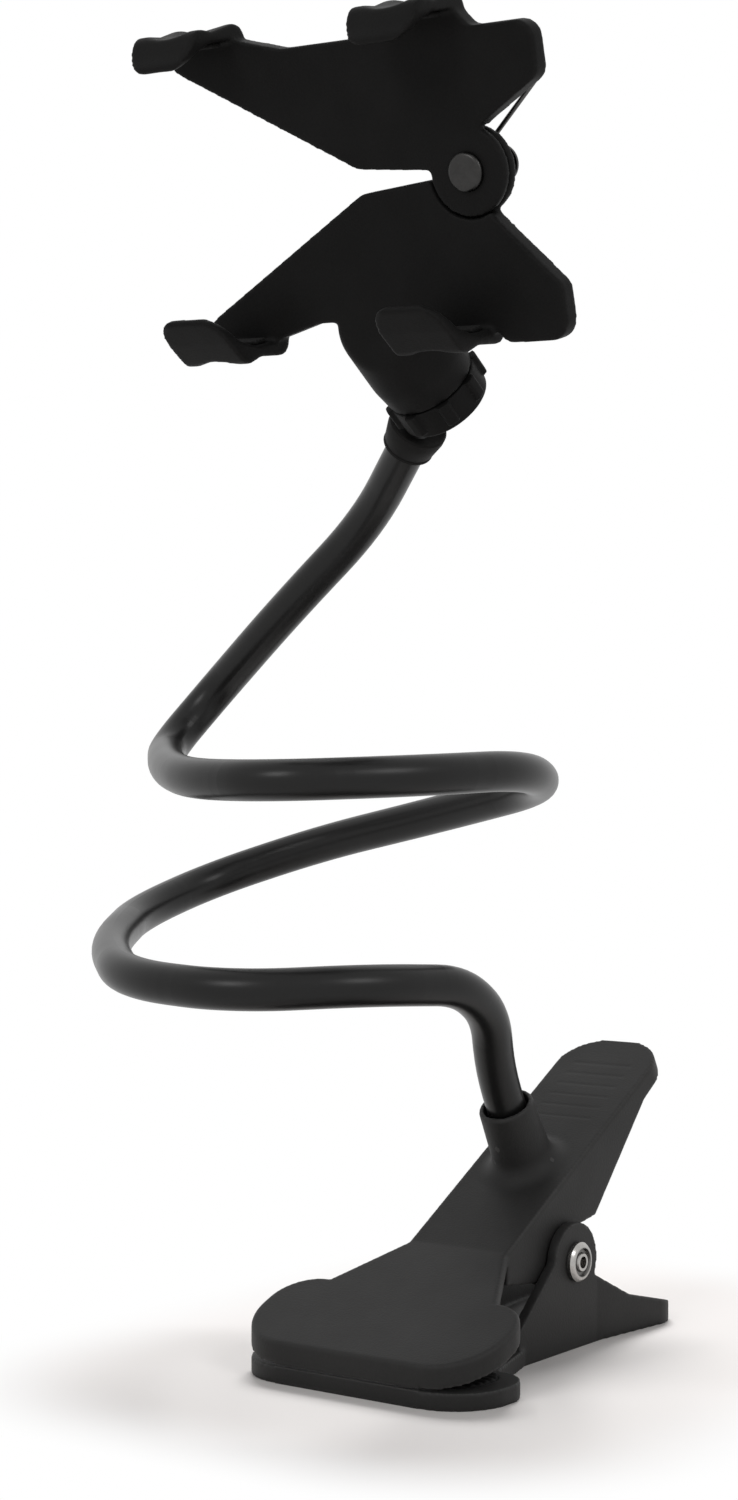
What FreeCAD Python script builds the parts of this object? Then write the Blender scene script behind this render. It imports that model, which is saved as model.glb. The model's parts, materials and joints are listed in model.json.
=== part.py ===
"""Clip-on device holder: spring clamp, bendable arm, ball joint and four-claw spring clip.

Millimetres. X runs along the clamp's hinge pin, Y from the jaw mouth towards the handles, Z up.
The origin lies on the underside of the lower lever, straight below the middle of the hinge pin.
"""
import FreeCAD, Part
import math
import os
import re
import Sketcher
from FreeCAD import Placement, Rotation, Vector

doc = FreeCAD.newDocument("GooseneckHolder")

# Driving dimensions, in millimetres and degrees
SIZES = {
    # Clamp levers
    "pivot_height": 19, "jaw_reach": 64, "jaw_width": 62, "jaw_depth": 24,
    "jaw_front_radius": 13, "jaw_rear_radius": 9, "neck_inset": 9.5, "jaw_angle": 20.6,
    "lip_height": 3.9, "upper_jaw_thickness": 4.8, "lower_jaw_thickness": 3.6, "slab_length": 28,
    "kink_setback": 23, "handle_width": 25.4, "handle_angle": 29.2, "handle_length": 78,
    "handle_end_radius": 10, "plate_wall": 2.6, "skirt_wall": 2.2, "rim_depth": 4,
    "skirt_end": 63, "skirt_root": 32.8, "skirt_drop": 15, "skirt_front_height": 17,
    "knuckle_radius": 7, "ear_radius": 8.5, "ear_wall": 2.5, "ear_gap": 0.4,
    "tray_length": 41, "tray_floor": 2.4, "tray_flare": 2.9, "tray_end_radius": 9,
    "tray_end_height": 3.6, "tray_mid_height": 8.6, "tray_shoulder_height": 16, "edge_round": 0.8,
    # Jaw pads
    "pad_margin": 5, "pad_recess": 1.4, "jaw_pad_thickness": 2, "pad_corner": 7, "pad_length": 17,
    # Rivet and clamp spring
    "rivet_radius": 2.5, "rivet_head_radius": 4.35, "rivet_head_height": 1.7, "rivet_hollow": 1.3,
    "running_gap": 0.05, "spring_radius": 5, "spring_wire": 1.6, "spring_turns": 4, "spring_leg": 24,
    # Boss on the handle and the bendable arm
    "boss_from_kink": 30, "boss_height": 16, "boss_radius": 6.2, "boss_root_radius": 6.8,
    "boss_flare": 4.5, "boss_mouth": 5.2, "boss_mouth_depth": 3, "boss_socket_depth": 14, "spring_gap": 0.3,
    "tube_radius": 4.4, "core_radius": 2.6, "glue_gap": 0.1, "first_run": 8,
    "grip_line_count": 6, "grip_line_pitch": 4.1, "grip_line_width": 0.7, "grip_line_depth": 0.4,
    "grip_line_length": 16, "grip_line_start": 47.5,
    # Ball joint
    "ball_radius": 7.5, "stud_neck_radius": 2.1, "stud_shank_radius": 3, "ferrule_start": 13,
    "ferrule_length": 8, "ferrule_radius": 6.5, "tube_seat": 16.5, "stud_head_radius": 4,
    "stud_head_height": 1.2, "stud_taper": 0.5,
    "socket_gap": 0.1, "socket_wall": 1, "bell_rim_radius": 10.2, "bell_radius": 11,
    "bell_length": 20, "bell_round": 3,
    "ring_front": 2.8, "ring_back": 4, "ring_radius": 10.3, "ring_lip_radius": 7.25,
    "ring_flare": 1.3, "rib_count": 8, "rib_height": 1.1, "rib_width": 3,
    "socket_tilt": 55.8, "socket_lean": 185.8, "head_tilt": 17, "head_roll": 2.4,
    # Claw levers, placed from the ball's centre
    "cradle_x": -7.2, "cradle_z": 47, "plate_back": 14.4, "plate_thickness": 4.5, "grip_height": 60.9,
    "claw_spacing": 55.8, "claw_width": 17, "claw_floor": 2.6, "claw_floor_depth": 6, "claw_root": 5,
    "lower_lip_depth": 17.8, "lower_lip_rise": 8.3, "upper_lip_depth": 14.5, "upper_lip_rise": 4.4,
    "lip_thickness": 2.4, "lip_round": 6, "petal_radius": 6,
    "saddle_radius": 16, "saddle_depth": 1.3, "clip_corner": 3.2,
    "claw_pad_thickness": 1, "claw_pad_length": 4.2, "claw_pad_width": 13, "clip_close": 10,
    "claw_pivot_x": 35, "claw_knuckle_radius": 9, "stop_gap": 0.3, "clip_handle_reach": 54,
    "upper_handle_edge": 28, "lower_handle_edge": 34.7, "clip_handle_width": 11, "clip_body_left": 8,
    "clip_waist": 28.5,
    "claw_pin_radius": 2, "claw_pin_head": 4, "claw_pin_head_height": 1.2, "claw_spring_radius": 3.8,
    "claw_spring_wire": 1, "claw_spring_turns": 3, "claw_spring_leg": 13, "spring_rib_height": 3,
    "spring_rib_length": 5, "spring_rib_wall": 2,
}

# The arm's route above the boss mouth, as offsets from that mouth; the last two points aim the head
ARM_ROUTE = [
    (4.5, -13, 21.5), (5.5, -26, 28.5), (0, -50, 30), (-21, -70, 29), (-52, -68, 30), (-79, -43, 34),
    (-96, -13, 39), (-94, 12, 46), (-71, 26, 55), (-37, 30, 63), (-4, 23, 70), (9, -5, 74),
    (3, -38, 73), (-18, -61, 72), (-46, -53, 72), (-68, -35, 74), (-87, -13, 78), (-82, -2, 91),
    (-58, -5, 110), (-36, -2, 130), (-17, -12.5, 146),
]
ARC_SHARE = 0.45


def fill_sheet():
    """Write the driving dimensions to the document's spreadsheet and return it."""
    table = doc.addObject("Spreadsheet::Sheet", "Sizes")
    for row, (alias, value) in enumerate(SIZES.items(), start=1):
        table.set("A%d" % row, alias)
        table.set("B%d" % row, str(value))
        table.setAlias("B%d" % row, alias)
    doc.recompute()
    return table


sheet = fill_sheet()


def size(text):
    """Return the number that a formula of the sheet's names gives."""
    return float(sheet.evalExpression(str(text)))


def bound(text):
    """Return the formula with the sheet's name put before each of its aliases."""
    return re.sub(r"\b[a-z][a-z_]*\b(?!\s*\()", lambda word: "Sizes." + word.group(0), str(text))


def new_body(label):
    """Add a body whose label names its file."""
    body = doc.addObject("PartDesign::Body", label)
    body.Label = label
    return body


def sketch_on(body, name, plane, base=("0", "0", "0"), axis=Vector(0, 0, 1), angle="0"):
    """Add a sketch on an origin plane, moved and turned by formulas in that plane's own axes."""
    sketch = body.newObject("Sketcher::SketchObject", name)
    support = [item for item in body.Origin.OriginFeatures if item.Role == plane][0]
    sketch.AttachmentSupport = [(support, "")]
    sketch.MapMode = "FlatFace"
    sketch.AttachmentOffset = Placement(Vector(*[size(item) for item in base]), Rotation(axis, size(angle)))
    for letter, formula in zip("xyz", base):
        sketch.setExpression("AttachmentOffset.Base." + letter, bound(formula))
    sketch.setExpression("AttachmentOffset.Rotation.Angle", bound(angle))
    return sketch


def pin_down(sketch, item, place, x, y):
    """Bind one point of a sketch to two formulas, measured from the sketch's origin."""
    for kind, formula in (("DistanceX", x), ("DistanceY", y)):
        index = sketch.addConstraint(Sketcher.Constraint(kind, -1, 1, item, place, size(formula)))
        sketch.setExpression("Constraints[%d]" % index, bound(formula))


def bind_radius(sketch, item, radius):
    """Bind the radius of an arc or a circle to a formula."""
    index = sketch.addConstraint(Sketcher.Constraint("Radius", item, size(radius)))
    sketch.setExpression("Constraints[%d]" % index, bound(radius))


def outline(sketch, corners):
    """Draw a closed outline; each corner is (x, y) or (x, y, rounding radius), all formulas."""
    places = [Vector(size(corner[0]), size(corner[1]), 0) for corner in corners]
    count = len(corners)
    entry, leave, arcs = [], [], {}
    for number, corner in enumerate(corners):
        here = places[number]
        back = (places[number - 1] - here).normalize()
        ahead = (places[(number + 1) % count] - here).normalize()
        if len(corner) == 2:
            entry.append(here)
            leave.append(here)
            continue
        radius = size(corner[2])
        half = back.getAngle(ahead) / 2
        reach = radius / math.tan(half)
        entry.append(here + back * reach)
        leave.append(here + ahead * reach)
        middle = here + (back + ahead).normalize() * (radius / math.sin(half))
        arcs[number] = (middle, radius, back.cross(ahead).z < 0)
    lines = [sketch.addGeometry(Part.LineSegment(leave[n], entry[(n + 1) % count])) for n in range(count)]
    for number, corner in enumerate(corners):
        before, after = lines[number - 1], lines[number]
        if number not in arcs:
            sketch.addConstraint(Sketcher.Constraint("Coincident", before, 2, after, 1))
            pin_down(sketch, after, 1, corner[0], corner[1])
            continue
        middle, radius, left_turn = arcs[number]
        first, last = (entry[number], leave[number]) if left_turn else (leave[number], entry[number])
        angles = [math.atan2(tip.y - middle.y, tip.x - middle.x) for tip in (first, last)]
        circle = Part.Circle(middle, Vector(0, 0, 1), radius)
        arc = sketch.addGeometry(Part.ArcOfCircle(circle, angles[0], angles[1]))
        vertex = sketch.addGeometry(Part.Point(places[number]), True)
        in_end, out_end = (1, 2) if left_turn else (2, 1)
        sketch.addConstraint(Sketcher.Constraint("Tangent", before, 2, arc, in_end))
        sketch.addConstraint(Sketcher.Constraint("Tangent", arc, out_end, after, 1))
        sketch.addConstraint(Sketcher.Constraint("PointOnObject", vertex, 1, before))
        sketch.addConstraint(Sketcher.Constraint("PointOnObject", vertex, 1, after))
        bind_radius(sketch, arc, corner[2])
        pin_down(sketch, vertex, 1, corner[0], corner[1])


def ring(sketch, x, y, radius):
    """Draw a circle with its centre and radius bound to formulas."""
    item = sketch.addGeometry(Part.Circle(Vector(size(x), size(y), 0), Vector(0, 0, 1), size(radius)))
    pin_down(sketch, item, 3, x, y)
    bind_radius(sketch, item, radius)


def extrude(body, name, kind, sketch, length=None, both_ways=False, flip=False):
    """Add a Pad or Pocket of a sketch; a Pocket with no length goes right through."""
    feature = body.newObject("PartDesign::" + kind, name)
    feature.Profile = sketch
    feature.Reversed = flip
    if both_ways:
        feature.SideType = "Symmetric"
    if length is None:
        feature.Type = "ThroughAll"
    else:
        feature.Length = size(length)
        feature.setExpression("Length", bound(length))
    doc.recompute()
    return feature


def turn(body, name, kind, sketch):
    """Add a Revolution or Groove of a sketch about its own vertical axis."""
    feature = body.newObject("PartDesign::" + kind, name)
    feature.Profile = sketch
    feature.ReferenceAxis = (sketch, ["V_Axis"])
    feature.Angle = 360
    doc.recompute()
    return feature


def soften(body, name, radius, wanted):
    """Fillet each edge of the body's newest feature that the test picks."""
    base = body.Tip
    names = ["Edge%d" % (n + 1) for n, edge in enumerate(base.Shape.Edges) if wanted(edge)]
    fillet = body.newObject("PartDesign::Fillet", name)
    fillet.Base = (base, names)
    fillet.Radius = size(radius)
    fillet.setExpression("Radius", bound(radius))
    doc.recompute()
    return fillet


def ends(edge):
    """Return the points at an edge's two ends."""
    return [vertex.Point for vertex in edge.Vertexes]


def near(value, formula, slack=0.05):
    """Say whether a number is the size that a formula gives."""
    return abs(value - size(formula)) < slack


# Heights and places that several pieces share, as formulas of the sheet's names
FRONT = "-jaw_reach"
LIP_TOP = "(lip_height + upper_jaw_thickness)"
KINK_Z = "(%s + (jaw_reach - kink_setback) * tan(jaw_angle))" % LIP_TOP
SLAB_END = "(slab_length - jaw_reach)"
EAR_OUTER = "(handle_width / 2 + ear_gap + ear_wall)"
BOSS_Y = "(boss_from_kink * cos(handle_angle) - kink_setback)"
BOSS_Z = "(%s + boss_from_kink * sin(handle_angle))" % KINK_Z
SPRING_ROOM = "claw_spring_wire * (claw_spring_turns + 5)"


def on_handle(along, depth):
    """Return the Y and Z formulas of a point along the handle's top and below its surface."""
    y = "((%s) * cos(handle_angle) + (%s) * sin(handle_angle) - kink_setback)" % (along, depth)
    z = "(%s + (%s) * sin(handle_angle) - (%s) * cos(handle_angle))" % (KINK_Z, along, depth)
    return y, z


def jaw_corners(root_half_width, root_y):
    """Return the plan of a jaw plate, from its rounded front to a narrower root."""
    half, rear = "jaw_width / 2", "jaw_depth - jaw_reach"
    return [
        ("-" + half, FRONT, "jaw_front_radius"), (half, FRONT, "jaw_front_radius"),
        (half, rear, "jaw_rear_radius"), (half + " - neck_inset", rear), (root_half_width, root_y),
        ("-" + root_half_width, root_y), ("neck_inset - " + half, rear),
        ("-" + half, rear, "jaw_rear_radius"),
    ]


def pad_corners():
    """Return the plan of a jaw pad or its recess, measured from the jaw's front edge."""
    half, back = "jaw_width / 2 - pad_margin", "pad_margin + pad_length"
    return [
        ("-(%s)" % half, "pad_margin", "pad_corner"), (half, "pad_margin", "pad_corner"),
        (half, back, "pad_corner"), ("-(%s)" % half, back, "pad_corner"),
    ]


def rounded_end(middle, half, root, end, radius):
    """Return the waste round a bar's rounded end: the bar runs from root to end along the second axis."""
    over = "(%s) + ((%s) - (%s)) / 2" % (end, end, root)
    left, right = "%s - (%s)" % (middle, half), "%s + (%s)" % (middle, half)
    corners = [(left, root), (left, end, radius), (right, end, radius), (right, root)]
    far_left, far_right = "%s - %s" % (left, radius), "%s + %s" % (right, radius)
    return corners + [(far_right, root), (far_right, over), (far_left, over), (far_left, root)]


def make_upper_lever():
    """Upper clamp lever: sloped jaw plate, skirted handle, knuckles, tube boss and grip lines."""
    body = new_body("upper_lever")
    plan = sketch_on(body, "upper_jaw_plan", "XY_Plane")
    outline(plan, jaw_corners("handle_width / 2", "-kink_setback"))
    extrude(body, "upper_jaw_block", "Pad", plan, "%s + jaw_reach" % KINK_Z)
    slope = "tan(jaw_angle)"
    above = sketch_on(body, "over_jaw", "YZ_Plane")
    outline(above, [
        ("-jaw_reach - jaw_depth", "%s - jaw_depth * %s" % (LIP_TOP, slope)),
        ("0", "%s + jaw_reach * %s" % (LIP_TOP, slope)),
        ("0", "%s + 2 * jaw_reach" % KINK_Z), ("-jaw_reach - jaw_depth", "%s + 2 * jaw_reach" % KINK_Z),
    ])
    extrude(body, "jaw_top", "Pocket", above, "2 * jaw_width", both_ways=True)
    under = sketch_on(body, "under_jaw", "YZ_Plane")
    thin = "%s - plate_wall / cos(jaw_angle)" % LIP_TOP
    outline(under, [
        ("-jaw_reach - jaw_depth", "lip_height - jaw_depth * %s" % slope),
        (SLAB_END, "lip_height + slab_length * %s" % slope),
        (SLAB_END, "%s + slab_length * %s" % (thin, slope)),
        ("0", "%s + jaw_reach * %s" % (thin, slope)), ("0", "-jaw_reach"),
        ("-jaw_reach - jaw_depth", "-jaw_reach"),
    ])
    extrude(body, "jaw_underside", "Pocket", under, "2 * jaw_width", both_ways=True)

    side = sketch_on(body, "handle_side", "YZ_Plane")
    kink = on_handle("0", "0")
    tip = on_handle("handle_length", "0")
    tip_low = on_handle("handle_length", "rim_depth")
    rim_root = on_handle("skirt_end", "rim_depth * 1.25")
    skirt_low = on_handle("skirt_root", "skirt_drop")
    outline(side, [
        kink, tip, tip_low, rim_root, skirt_low,
        ("knuckle_radius * 0.3", "pivot_height + knuckle_radius * 0.9"),
        ("-knuckle_radius / 2", "pivot_height - knuckle_radius / 2"),
        ("-knuckle_radius - ear_radius / 2", "skirt_front_height - ear_wall / 2"),
        ("-kink_setback", "skirt_front_height"),
    ])
    extrude(body, "handle_block", "Pad", side, "handle_width", both_ways=True)
    knuckle = sketch_on(body, "knuckle_side", "YZ_Plane")
    ring(knuckle, "0", "pivot_height", "knuckle_radius")
    extrude(body, "knuckle_block", "Pad", knuckle, "handle_width", both_ways=True)
    tilted = ("0", "-kink_setback", KINK_Z)
    plan_end = sketch_on(body, "handle_end_plan", "XY_Plane", tilted, Vector(1, 0, 0), "handle_angle")
    half_handle = "handle_width / 2"
    outline(plan_end, rounded_end("0", half_handle, "skirt_end", "handle_length", "handle_end_radius"))
    extrude(body, "handle_end", "Pocket", plan_end, "jaw_reach", both_ways=True)

    hollow = sketch_on(body, "handle_inside", "YZ_Plane")
    inner_kink = "%s + slab_length * %s" % (thin, slope)
    end = on_handle("handle_length - handle_end_radius", "plate_wall")
    start = on_handle("0", "plate_wall")
    outline(hollow, [
        (SLAB_END, inner_kink), start, end, on_handle("handle_length - handle_end_radius", "handle_length"),
        (SLAB_END, "-jaw_reach"),
    ])
    extrude(body, "handle_hollow", "Pocket", hollow, "handle_width - 2 * skirt_wall", both_ways=True)
    hole = sketch_on(body, "pin_hole", "YZ_Plane")
    ring(hole, "0", "pivot_height", "rivet_radius + running_gap")
    extrude(body, "pin_holes", "Pocket", hole, "2 * handle_width", both_ways=True)

    def on_jaw_rim(edge):
        """Say whether an edge lies on the jaw's sloped top, apart from where the handle begins."""
        tops = ["%s + (%f) * %s" % (LIP_TOP, p.y + size("jaw_reach"), slope) for p in ends(edge)]
        level = all(near(p.z, top) for p, top in zip(ends(edge), tops))
        return level and not all(near(p.y, "-kink_setback") for p in ends(edge))

    soften(body, "jaw_edge", "edge_round", on_jaw_rim)

    boss = sketch_on(body, "boss_side", "YZ_Plane", (BOSS_Y, BOSS_Z, "0"), angle="handle_angle")
    outline(boss, [
        ("0", "-plate_wall / 2"), ("boss_root_radius + boss_flare", "-plate_wall / 2"),
        ("boss_root_radius + boss_flare", "0"), ("boss_root_radius", "0", "boss_flare * 0.97"),
        ("boss_radius", "boss_height", "edge_round"), ("0", "boss_height"),
    ])
    turn(body, "boss", "Revolution", boss)
    bore = sketch_on(body, "boss_bore", "YZ_Plane", (BOSS_Y, BOSS_Z, "0"), angle="handle_angle")
    floor = "boss_height - boss_socket_depth"
    outline(bore, [
        ("0", floor), ("tube_radius + glue_gap", floor),
        ("tube_radius + glue_gap", "boss_height - boss_mouth_depth"),
        ("boss_mouth", "boss_height - boss_mouth_depth"), ("boss_mouth", "boss_height + edge_round"),
        ("0", "boss_height + edge_round"),
    ])
    turn(body, "tube_socket", "Groove", bore)
    lines = sketch_on(body, "grip_lines", "XY_Plane", ("0", "-kink_setback", KINK_Z),
                      Vector(1, 0, 0), "handle_angle")
    for number in range(int(size("grip_line_count"))):
        low = "grip_line_start + %d * grip_line_pitch" % number
        high = low + " + grip_line_width"
        outline(lines, [("-grip_line_length / 2", low), ("grip_line_length / 2", low),
                        ("grip_line_length / 2", high), ("-grip_line_length / 2", high)])
    extrude(body, "grip_cuts", "Pocket", lines, "grip_line_depth")
    recess = sketch_on(body, "upper_recess", "XY_Plane", ("0", FRONT, "lip_height"),
                       Vector(1, 0, 0), "jaw_angle")
    outline(recess, pad_corners())
    extrude(body, "upper_pad_seat", "Pocket", recess, "pad_recess", flip=True)
    return body


def make_lower_lever():
    """Lower clamp lever: flat jaw plate, open tray handle with side walls, two outer ears."""
    body = new_body("lower_lever")
    back_half = "%s + tray_flare" % EAR_OUTER
    tray = sketch_on(body, "tray_plan", "XY_Plane")
    outline(tray, [
        ("-" + EAR_OUTER, "-kink_setback"), (EAR_OUTER, "-kink_setback"), (EAR_OUTER, "ear_radius"),
        (back_half, "tray_length - tray_end_radius"), (back_half, "tray_length", "tray_end_radius * 0.9"),
        ("-(%s)" % back_half, "tray_length", "tray_end_radius * 0.9"),
        ("-(%s)" % back_half, "tray_length - tray_end_radius"), ("-" + EAR_OUTER, "ear_radius"),
    ])
    extrude(body, "tray_block", "Pad", tray, "pivot_height + ear_radius")
    above = sketch_on(body, "over_tray", "YZ_Plane")
    outline(above, [
        ("-kink_setback - ear_radius", "0"), ("-ear_radius * 0.75", "pivot_height + ear_wall"),
        ("ear_radius * 0.7", "tray_shoulder_height"), ("tray_length / 2", "tray_mid_height"),
        ("tray_length + ear_radius", "tray_end_height - ear_radius / 4"),
        ("tray_length + ear_radius", "2 * pivot_height"),
        ("-kink_setback - ear_radius", "2 * pivot_height"),
    ])
    extrude(body, "tray_walls", "Pocket", above, "2 * jaw_width", both_ways=True)
    ear = sketch_on(body, "ear_side", "YZ_Plane")
    ring(ear, "0", "pivot_height", "ear_radius")
    extrude(body, "ear_block", "Pad", ear, "2 * %s" % EAR_OUTER, both_ways=True)
    plan = sketch_on(body, "lower_jaw_plan", "XY_Plane")
    outline(plan, jaw_corners(EAR_OUTER, "-kink_setback + ear_wall"))
    extrude(body, "lower_jaw_plate", "Pad", plan, "lower_jaw_thickness")
    inside = sketch_on(body, "tray_inside", "XY_Plane", ("0", "0", "tray_floor"))
    near_half, far_half = "handle_width / 2 + ear_gap", "handle_width / 2 + ear_gap + tray_flare"
    far = "tray_length - ear_wall"
    outline(inside, [
        ("-(%s)" % near_half, "-kink_setback - ear_wall"), (near_half, "-kink_setback - ear_wall"),
        (near_half, "ear_radius"), (far_half, "tray_length - tray_end_radius"),
        (far_half, far, "tray_end_radius * 0.7"), ("-(%s)" % far_half, far, "tray_end_radius * 0.7"),
        ("-(%s)" % far_half, "tray_length - tray_end_radius"), ("-(%s)" % near_half, "ear_radius"),
    ])
    extrude(body, "tray_hollow", "Pocket", inside, "2 * pivot_height", flip=True)
    hole = sketch_on(body, "rivet_hole", "YZ_Plane")
    ring(hole, "0", "pivot_height", "rivet_radius + running_gap")
    extrude(body, "rivet_holes", "Pocket", hole, "2 * jaw_width", both_ways=True)
    recess = sketch_on(body, "lower_recess", "XY_Plane", ("0", FRONT, "lower_jaw_thickness"))
    outline(recess, pad_corners())
    extrude(body, "lower_pad_seat", "Pocket", recess, "pad_recess")
    return body


def make_jaw_pad(label, base, angle, flip):
    """Soft pad glued in a jaw's recess, a little proud of the jaw."""
    body = new_body(label)
    plan = sketch_on(body, label + "_plan", "XY_Plane", base, Vector(1, 0, 0), angle)
    inset = []
    for number, (x, y, radius) in enumerate(pad_corners()):
        x_sign = "+" if number in (0, 3) else "-"
        y_sign = "+" if number in (0, 1) else "-"
        inset.append(("%s %s glue_gap" % (x, x_sign), "%s %s glue_gap" % (y, y_sign), radius))
    outline(plan, inset)
    extrude(body, label + "_block", "Pad", plan, "jaw_pad_thickness", flip=flip)
    return body


def make_hinge_rivet():
    """Bright tubular rivet with a domed, hollow head at each end."""
    body = new_body("hinge_rivet")
    side = sketch_on(body, "rivet_side", "XZ_Plane")
    face = EAR_OUTER
    head = "%s + rivet_head_height" % face
    hollow = "%s - ear_wall" % face
    rim = "rivet_head_radius"
    outline(side, [
        ("0", "-(%s)" % hollow), ("rivet_hollow", "-(%s)" % hollow), ("rivet_hollow", "-(%s)" % head),
        ("%s * 0.8" % rim, "-(%s)" % head, "rivet_head_height / 2"), (rim, "-%s" % face),
        ("rivet_radius", "-%s" % face), ("rivet_radius", face), (rim, face),
        ("%s * 0.8" % rim, head, "rivet_head_height / 2"), ("rivet_hollow", head),
        ("rivet_hollow", hollow), ("0", hollow),
    ])
    turn(body, "rivet", "Revolution", side)
    turned = Rotation(Vector(0, 0, 1), Vector(1, 0, 0))
    body.Placement = Placement(Vector(0, 0, size("pivot_height")), turned)
    return body


def torsion_spring(label, radius, wire, turns, upper_tip, lower_tip):
    """Torsion spring about X; both legs leave towards +Y and end near the two given (y, z) tips.

    Args: label, coil radius, wire diameter, whole turns, and each leg's tip from the coil's centre.
    """
    def leg_angle(tip, side):
        """Return the angle of a leg that leaves the coil on one side and ends at the tip."""
        reach = math.hypot(*tip)
        return math.atan2(tip[1], tip[0]) - side * math.asin(radius / reach)

    pitch = wire * 1.12
    first = math.pi / 2 + leg_angle(upper_tip, 1)
    last = leg_angle(lower_tip, -1) - math.pi / 2 + 2 * math.pi
    sweep = last - first + 2 * math.pi * turns
    height = pitch * sweep / (2 * math.pi)
    helix = Part.makeHelix(pitch, height, radius)
    helix.rotate(Vector(0, 0, 0), Vector(0, 0, 1), math.degrees(first))
    helix.translate(Vector(0, 0, -height / 2))
    to_side = Placement(Vector(), Rotation(Vector(0, 1, 0), Vector(0, 0, 1), Vector(1, 0, 0), "ZXY"))
    coil = helix.Edges[0]

    def arm(point, direction, tip):
        """Return a straight leg from the coil's end, as long as its tip asks."""
        length = math.sqrt(math.hypot(*tip) ** 2 - radius ** 2)
        return Part.LineSegment(point, point + direction * length).toShape()

    start, stop = coil.valueAt(coil.FirstParameter), coil.valueAt(coil.LastParameter)
    upper = arm(start, coil.tangentAt(coil.FirstParameter) * -1, upper_tip)
    lower = arm(stop, coil.tangentAt(coil.LastParameter), lower_tip)
    path = Part.Wire([upper, coil, lower])
    tip = upper.Vertexes[1].Point
    section = Part.Wire([Part.Circle(tip, start - tip, wire / 2).toShape()])
    solid = path.makePipeShell([section], True, True)
    solid.Placement = to_side
    spring = doc.addObject("Part::Feature", label)
    spring.Label = label
    spring.Shape = solid
    return spring


def make_clamp_spring():
    """Torsion spring round the rivet that pushes the two clamp handles apart."""
    leg, rise, wire = size("spring_leg"), size("pivot_height"), size("spring_wire")
    inside = "%s - plate_wall / cos(handle_angle)" % KINK_Z
    under = size("%s + (spring_leg + kink_setback) * tan(handle_angle)" % inside)
    clear = size("spring_gap") + wire / 2
    upper = (leg, under - rise - clear / math.cos(math.radians(size("handle_angle"))))
    lower = (leg, size("tray_floor") - rise + clear)
    turns = int(size("spring_turns"))
    spring = torsion_spring("clamp_spring", size("spring_radius"), wire, turns, upper, lower)
    spring.Placement = Placement(Vector(0, 0, rise), Rotation()).multiply(spring.Placement)
    return spring


def arm_points():
    """Return the arm's route from the bottom of the boss socket to its seat in the ferrule."""
    base = Vector(0, size(BOSS_Y), size(BOSS_Z))
    tilt = math.radians(size("handle_angle"))
    axis = Vector(0, -math.sin(tilt), math.cos(tilt))
    mouth = base + axis * size("boss_height")
    start = base + axis * size("boss_height - boss_socket_depth + glue_gap")
    return [start, mouth + axis * size("first_run")] + [mouth + Vector(*step) for step in ARM_ROUTE]


def rounded_path(points):
    """Return straight runs joined by tangent arcs, each as large as its two runs allow."""
    edges, here = [], points[0]
    for before, corner, after in zip(points, points[1:], points[2:]):
        back, ahead = before - corner, after - corner
        reach = ARC_SHARE * min(back.Length, ahead.Length)
        back.normalize()
        ahead.normalize()
        first, last = corner + back * reach, corner + ahead * reach
        half = back.getAngle(ahead) / 2
        radius = reach * math.tan(half)
        middle = corner + (back + ahead).normalize() * (reach / math.cos(half) - radius)
        edges += [Part.LineSegment(here, first).toShape(), Part.Arc(first, middle, last).toShape()]
        here = last
    edges.append(Part.LineSegment(here, points[-1]).toShape())
    return Part.Wire(edges)


def make_tube(label, points, outer, inner=None):
    """Sweep a round bar, or a tube with a bore, along the arm's route."""
    path = rounded_path(points)
    direction = points[1] - points[0]

    def swept(radius):
        """Return a round bar along the route."""
        section = Part.Wire([Part.Circle(points[0], direction, radius).toShape()])
        return path.makePipeShell([section], True, True)

    shape = swept(outer)
    area = math.pi * outer ** 2
    if inner is not None:
        shape = shape.cut(swept(inner))
        area -= math.pi * inner ** 2
    print("%s volume over section times length: %.4f" % (label, shape.Volume / (area * path.Length)))
    tube = doc.addObject("Part::Feature", label)
    tube.Label = label
    tube.Shape = shape
    return tube


def ball_frame(points):
    """Return the ball's centre and the direction from the ball along the stud to the arm."""
    along = (points[-2] - points[-1]).normalize()
    return points[-1] - along * size("tube_seat"), along


def make_ball_stud(centre, along):
    """Ball, thin neck, shank that turns in the ferrule, and its upset end."""
    body = new_body("ball_stud")
    side = sketch_on(body, "stud_side", "XZ_Plane")
    shank_end = "tube_seat - stud_head_height"
    outline(side, [
        ("0", "0"), ("stud_neck_radius", "0"), ("stud_neck_radius", "ferrule_start - 2 * stud_taper"),
        ("stud_shank_radius", "ferrule_start - stud_taper"), ("stud_shank_radius", shank_end),
        ("stud_head_radius", shank_end), ("stud_head_radius", "tube_seat - glue_gap"),
        ("0", "tube_seat - glue_gap"),
    ])
    turn(body, "stud", "Revolution", side)
    ball = body.newObject("PartDesign::AdditiveSphere", "ball")
    ball.Radius = size("ball_radius")
    ball.setExpression("Radius", bound("ball_radius"))
    doc.recompute()
    body.Placement = Placement(centre, Rotation(Vector(0, 0, 1), along))
    return body


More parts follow.
